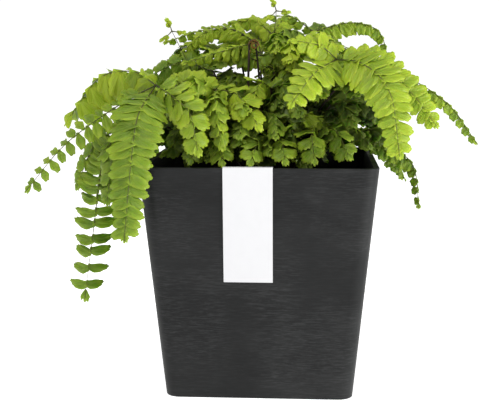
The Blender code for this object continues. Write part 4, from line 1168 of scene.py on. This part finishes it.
def add_crumb(bm, place, size, chance):
    """Small irregular lump of soil or bark."""
    made = bmesh.ops.create_icosphere(bm, subdivisions=1, radius=1.0)["verts"]
    stretch = Vector((chance.uniform(0.6, 1.3), chance.uniform(0.6, 1.3), chance.uniform(0.4, 0.9)))
    spin = Matrix.Rotation(chance.uniform(0.0, 6.28), 3, 'Z')
    spin = spin @ Matrix.Rotation(chance.uniform(-0.6, 0.6), 3, 'X')
    for vert in made:
        rough = 1.0 + 0.35 * noise.noise(vert.co * 1.7 + place * 900.0)
        vert.co = place + spin @ (vert.co * stretch * size * rough)


SOIL_EDGE = SOIL_HIGH.z - 0.006      # height of the soil along the planter's wall
SOIL_RISE = 0.0050           # how much higher the soil is in the middle
SOIL_RINGS = 14
RING_SHRINK = 0.84           # size of each ring of the soil's top, as a share of the one outside it
CRUMBS = 420
CRUMB_SIZES = (0.0008, 0.0024)


def soil_rise(x, y, half):
    """Share of the way from the wall to the middle, and how much higher the soil is there."""
    inward = 1.0 - max(abs(x), abs(y)) / half
    return inward, SOIL_RISE * smoothstep(inward / 0.5)


def build_soil_piece():
    """Potting soil that fills the planter, with an uneven top strewn with crumbs."""
    planter = bpy.context.scene.fern_planter
    chance = random.Random("crumbs of the potting soil")
    inset = planter.wall + GAP
    half = pot_width(SOIL_EDGE) / 2.0 - inset
    bm = tapered_block(planter.floor + GAP, SOIL_EDGE, inset, planter.corner_radius - inset, 4)
    top = max(bm.faces, key=lambda face: face.calc_center_median().z)
    for _ in range(SOIL_RINGS):
        raised = bmesh.ops.extrude_face_region(bm, geom=[top])["geom"]
        ring = [item for item in raised if isinstance(item, bmesh.types.BMVert)]
        bmesh.ops.scale(bm, verts=ring, vec=(RING_SHRINK, RING_SHRINK, 1.0))
        bmesh.ops.delete(bm, geom=[top], context='FACES_ONLY')
        top = next(item for item in raised if isinstance(item, bmesh.types.BMFace))
    bmesh.ops.poke(bm, faces=[top])
    surface = [edge for edge in bm.edges if min(vert.co.z for vert in edge.verts) > SOIL_EDGE - GAP]
    long_edges = [edge for edge in surface if edge.calc_length() > 0.006]
    bmesh.ops.subdivide_edges(bm, edges=long_edges, cuts=9, use_grid_fill=True)
    for vert in bm.verts:
        if vert.co.z > SOIL_EDGE - GAP:
            inward, rise = soil_rise(vert.co.x, vert.co.y, half)
            bumps = noise.noise(vert.co * 120.0) * 0.0018 + noise.noise(vert.co * 420.0) * 0.0008
            vert.co.z += rise + bumps * min(inward * 12.0, 1.0)
    draft = add_object("soil_draft", mesh_from(bm, "soil_draft"))
    cut_away(draft, plug_cutter((PLUG_HIGH.x - PLUG_LOW.x) / 2.0 + GAP, PLUG_HIGH.z + GAP))
    bm = bmesh.new()
    bm.from_mesh(applied(draft))
    for _ in range(CRUMBS):
        x, y = chance.uniform(-half, half) * 0.94, chance.uniform(-half, half) * 0.94
        if math.hypot(x, y) < CROWN_RADIUS * 0.9:
            continue
        place = Vector((x, y, SOIL_EDGE + soil_rise(x, y, half)[1]))
        add_crumb(bm, place, chance.uniform(*CRUMB_SIZES), chance)
    mesh = smoothed(mesh_from(bm, "soil_bed"), 40.0)
    add_piece("soil_bed", mesh, ["potting_soil_look"], "soil", "potting_soil")


CROWN_SCALES = 260
SCALE_LENGTH = 0.0046
SCALE_RADII = (0.0009, 0.0001)
SCALE_DEPTH = 0.0022         # how deep a scale's foot sits in the crown


def build_crown_piece():
    """Knobbly domed crown covered in small pointed scales."""
    chance = random.Random("scales of the crown")
    bm = bmesh.new()
    bmesh.ops.create_uvsphere(bm, u_segments=48, v_segments=24, radius=CROWN_RADIUS)
    bmesh.ops.scale(bm, verts=bm.verts[:], vec=(1.0, 1.0, CROWN_HEIGHT / CROWN_RADIUS))
    everything = bm.verts[:] + bm.edges[:] + bm.faces[:]
    bmesh.ops.bisect_plane(bm, geom=everything, plane_co=(0.0, 0.0, GAP), plane_no=(0.0, 0.0, 1.0),
                           clear_inner=True)
    bmesh.ops.holes_fill(bm, edges=[edge for edge in bm.edges if edge.is_boundary])
    for vert in bm.verts:
        if vert.co.z > 2.0 * GAP:
            knobs = 0.10 * abs(noise.noise(vert.co * 130.0)) + 0.03 * abs(noise.noise(vert.co * 420.0))
            vert.co *= 1.0 - knobs
    bmesh.ops.translate(bm, verts=bm.verts[:], vec=(0.0, 0.0, SOIL_HIGH.z))
    for _ in range(CROWN_SCALES):
        angle = chance.uniform(0.0, 2.0 * math.pi)
        radius = CROWN_RADIUS * math.sqrt(chance.uniform(0.02, 0.86))
        foot = Vector((radius * math.cos(angle), radius * math.sin(angle),
                       crown_surface(radius) - SCALE_DEPTH))
        made = bmesh.ops.create_cone(bm, cap_ends=True, segments=5, radius1=SCALE_RADII[0],
                                     radius2=SCALE_RADII[1], depth=SCALE_LENGTH)["verts"]
        lean = Matrix.Rotation(chance.uniform(-0.7, 0.7), 3, 'X')
        lean = lean @ Matrix.Rotation(chance.uniform(-0.7, 0.7), 3, 'Y')
        for vert in made:
            vert.co = foot + lean @ (vert.co + Vector((0.0, 0.0, 0.0018)))
    mesh = smoothed(mesh_from(bm, "crown_scaly"), 45.0)
    add_piece("crown_scaly", mesh, ["scaly_crown"], "rhizome", "rhizome")


CARD_BOW = 0.0006            # how far the card stands off the planter halfway down
CARD_COLUMNS = 9
DROP_ROWS, TUCK_ROWS = 25, 9


def build_card_piece():
    """Blank card tag folded over the front rim, with a soft bow and eased folds."""
    card = bpy.context.scene.fern_card
    planter = bpy.context.scene.fern_planter
    clearance = GAP + card.thickness / 2.0
    slope = (2.0 * RIM_HALF - planter.base_width) / 2.0 / POT_HIGH.z
    over = POT_HIGH.z + clearance
    outside = RIM_HALF + clearance
    inside = RIM_HALF - planter.wall - clearance
    profile = []
    for step in range(DROP_ROWS):
        down = card.drop * (1.0 - step / (DROP_ROWS - 1))
        bow = CARD_BOW * math.sin(math.pi * down / card.drop)
        profile.append((-outside + slope * down - bow, over - down))
    profile += [(-outside + 0.0004, over + 0.0001), (-inside - 0.0004, over + 0.0001)]
    for step in range(TUCK_ROWS):
        down = card.tuck * step / (TUCK_ROWS - 1)
        profile.append((-inside + slope * down, over - down))
    bm = bmesh.new()
    step_across = (CARD_HIGH.x - CARD_LOW.x) / (CARD_COLUMNS - 1)
    rows = [[bm.verts.new((CARD_LOW.x + step_across * column, y, z)) for column in range(CARD_COLUMNS)]
            for y, z in profile]
    for upper, lower in zip(rows, rows[1:]):
        for column in range(CARD_COLUMNS - 1):
            bm.faces.new((upper[column], upper[column + 1], lower[column + 1], lower[column]))
    sheet = add_object("card_draft", mesh_from(bm, "card_draft"))
    solid = sheet.modifiers.new("card_thickness", 'SOLIDIFY')
    solid.thickness = card.thickness
    solid.offset = 0.0
    solid.use_even_offset = True
    mesh = smoothed(applied(sheet), 40.0)
    mesh.name = "card_tag"
    add_piece("card_tag", mesh, ["coated_card"], "card", "label_card")


# ---------------------------------------------------------------- operators

class FERN_OT_materials(bpy.types.Operator):
    """Make every finish of the potted fern"""
    bl_idname = "fern.materials"
    bl_label = "Materials"

    def execute(self, context):
        build_mottle_group()
        build_grain_group()
        build_leaf_material("leaf_look", 0.0)
        build_leaf_material("young_leaf_look", 0.15)
        build_leaf_material("young_stalk_look", 0.0, context.scene.fern_leaf.unrolling_colour)
        build_stalk_material()
        build_planter_material()
        build_soil_material()
        build_crown_material()
        build_card_material()
        build_rubber_material()
        return {'FINISHED'}


class FERN_OT_planter(bpy.types.Operator):
    """Make the planter and finish its plug"""
    bl_idname = "fern.planter"
    bl_label = "Planter"

    def execute(self, context):
        build_planter_piece()
        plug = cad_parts["drain_plug"]
        plug.data.materials.clear()
        plug.data.materials.append(bpy.data.materials["moulded_rubber"])
        return {'FINISHED'}


class FERN_OT_soil(bpy.types.Operator):
    """Make the soil bed and the crown"""
    bl_idname = "fern.soil"
    bl_label = "Soil and crown"

    def execute(self, context):
        build_soil_piece()
        build_crown_piece()
        return {'FINISHED'}


class FERN_OT_card(bpy.types.Operator):
    """Make the blank card tag"""
    bl_idname = "fern.card"
    bl_label = "Card tag"

    def execute(self, context):
        build_card_piece()
        return {'FINISHED'}


class FERN_OT_shown_fronds(bpy.types.Operator):
    """Make the fronds of the front, the middle and the top"""
    bl_idname = "fern.shown_fronds"
    bl_label = "Front and top fronds"

    def execute(self, context):
        for name, root, knots, pinnae in SHOWN_FRONDS:
            build_frond_piece(name, root, knots, pinnae)
        return {'FINISHED'}


class FERN_OT_tier_fronds(bpy.types.Operator):
    """Make the three tiers of fronds on the sides and back"""
    bl_idname = "fern.tier_fronds"
    bl_label = "Side and rear fronds"

    def execute(self, context):
        for tier, fronds in TIER_FRONDS.items():
            for index, (side, azimuth) in enumerate(fronds):
                root, knots, pinnae = tier_frond(tier, azimuth, index % 2 == 1)
                build_frond_piece("frond_" + tier + "_" + side, root, knots, pinnae)
        return {'FINISHED'}


class FERN_OT_young_growth(bpy.types.Operator):
    """Make the two croziers and the two sprigs"""
    bl_idname = "fern.young_growth"
    bl_label = "Croziers and sprigs"

    def execute(self, context):
        build_crozier_piece("crozier_brown", (255.0, 0.006),
                            [(-0.012, -0.012, 0.250), (-0.012, -0.012, 0.300)], 0.0045, 1.0, "young_stalk")
        build_crozier_piece("crozier_green", (20.0, 0.002),
                            [(0.006, 0.000, 0.250), (0.010, -0.002, 0.276)], 0.0060, -1.0, "young_leaf")
        build_sprig_piece("sprig_left", (180.0, 0.012), [(-0.050, 0.000, 0.250), (-0.082, 0.000, 0.312)])
        build_sprig_piece("sprig_top", (62.0, 0.007), [(0.006, 0.010, 0.270), (0.011, 0.009, 0.330)])
        return {'FINISHED'}


WHITE = (1.0, 1.0, 1.0, 1.0)
PLANT_MIDDLE = (0.0, 0.0, 0.2)
# Each row: name, place, the point it shines on, width, height and the setting with its power.
LIGHTS = (("overhead_light", (-0.25, -0.55, 1.35), PLANT_MIDDLE, 1.1, 1.1, "key_power"),
          ("front_light", (-0.5, -1.62, 0.75), PLANT_MIDDLE, 1.2, 0.9, "fill_power"),
          ("side_light", (1.15, -0.54, 0.36), (0.1, -0.1, 0.12), 0.16, 0.68, "side_power"))
FLOOR_HALF = 12.0
FLOOR_GLOW = 0.80
SEEN_STRENGTH = 1.05         # brightness of the surroundings as the camera sees them


def aim(obj, place, direction):
    """Put an object at a place and let it look in a direction."""
    obj.location = place
    obj.rotation_euler = Vector(direction).to_track_quat('-Z', 'Y').to_euler()


def add_light(name, place, target, width, height, power):
    """Soft rectangular light aimed at a point."""
    light = bpy.data.lights.new(name, 'AREA')
    light.shape = 'RECTANGLE'
    light.size = width
    light.size_y = height
    light.energy = power
    aim(add_object(name, light), place, Vector(target) - Vector(place))


def add_floor():
    """Wide pale floor, just under the planter."""
    bm = bmesh.new()
    bmesh.ops.create_grid(bm, x_segments=1, y_segments=1, size=FLOOR_HALF)
    bmesh.ops.translate(bm, verts=bm.verts[:], vec=(0.0, 0.0, -GAP))
    floor = add_object("pale_floor", mesh_from(bm, "pale_floor"))
    shader = new_material("pale_floor", 0.9, 0.1)[1]
    shader.inputs["Base Color"].default_value = (0.93, 0.93, 0.93, 1.0)
    shader.inputs["Emission Color"].default_value = WHITE
    shader.inputs["Emission Strength"].default_value = FLOOR_GLOW
    floor.data.materials.append(bpy.data.materials["pale_floor"])


def build_surroundings(strength):
    """White surroundings that light the plant less than they shine into the camera."""
    world = bpy.data.worlds.new("white_surroundings")
    world.use_nodes = True
    tree = world.node_tree
    lit = tree.nodes["Background"]
    lit.inputs["Color"].default_value = WHITE
    lit.inputs["Strength"].default_value = strength
    seen = node(tree, 'ShaderNodeBackground', Color=WHITE, Strength=SEEN_STRENGTH)
    path = tree.nodes.new('ShaderNodeLightPath')
    choice = tree.nodes.new('ShaderNodeMixShader')
    tree.links.new(path.outputs['Is Camera Ray'], choice.inputs[0])
    tree.links.new(lit.outputs[0], choice.inputs[1])
    tree.links.new(seen.outputs[0], choice.inputs[2])
    tree.links.new(choice.outputs[0], tree.nodes["World Output"].inputs['Surface'])
    bpy.context.scene.world = world


def add_camera(place, direction, lens):
    """Camera in front of the planter, a little above it."""
    data = bpy.data.cameras.new("front_camera")
    data.sensor_width = 36.0
    data.lens = lens
    data.clip_start = 0.05
    data.clip_end = 60.0
    camera = add_object("front_camera", data)
    aim(camera, place, direction)
    bpy.context.scene.camera = camera


class FERN_OT_stage(bpy.types.Operator):
    """Make the pale floor, the soft studio light and the camera"""
    bl_idname = "fern.stage"
    bl_label = "Stage"

    def execute(self, context):
        stage = context.scene.fern_stage
        add_floor()
        build_surroundings(stage.sky_strength)
        for name, place, target, width, height, power in LIGHTS:
            add_light(name, place, target, width, height, getattr(stage, power))
        add_camera(stage.camera_place, stage.camera_aim, stage.lens)
        context.scene.view_settings.view_transform = 'Standard'
        return {'FINISHED'}


class FERN_PT_panel(bpy.types.Panel):
    """Buttons for each group of pieces"""
    bl_idname = "FERN_PT_panel"
    bl_label = "Potted Fern"
    bl_space_type = 'VIEW_3D'
    bl_region_type = 'UI'
    bl_category = "Fern"

    def draw(self, context):
        for operator in OPERATORS:
            self.layout.operator(operator.bl_idname)


SETTINGS = (("fern_leaf", FernLeafSettings), ("fern_planter", FernPlanterSettings),
            ("fern_card", FernCardSettings), ("fern_stage", FernStageSettings))
OPERATORS = (FERN_OT_materials, FERN_OT_planter, FERN_OT_soil, FERN_OT_card, FERN_OT_shown_fronds,
             FERN_OT_tier_fronds, FERN_OT_young_growth, FERN_OT_stage)


def register():
    """Register the settings, the operators and the panel."""
    for name, group in SETTINGS:
        bpy.utils.register_class(group)
        setattr(bpy.types.Scene, name, bpy.props.PointerProperty(type=group))
    for operator in OPERATORS:
        bpy.utils.register_class(operator)
    bpy.utils.register_class(FERN_PT_panel)


def unregister():
    """Remove what register added."""
    bpy.utils.unregister_class(FERN_PT_panel)
    for operator in reversed(OPERATORS):
        bpy.utils.unregister_class(operator)
    for name, group in reversed(SETTINGS):
        delattr(bpy.types.Scene, name)
        bpy.utils.unregister_class(group)


def main():
    """Make every piece in order."""
    register()
    for operator in ("materials", "planter", "soil", "card", "shown_fronds", "tier_fronds",
                     "young_growth", "stage"):
        getattr(bpy.ops.fern, operator)()


if __name__ == "__main__":
    main()
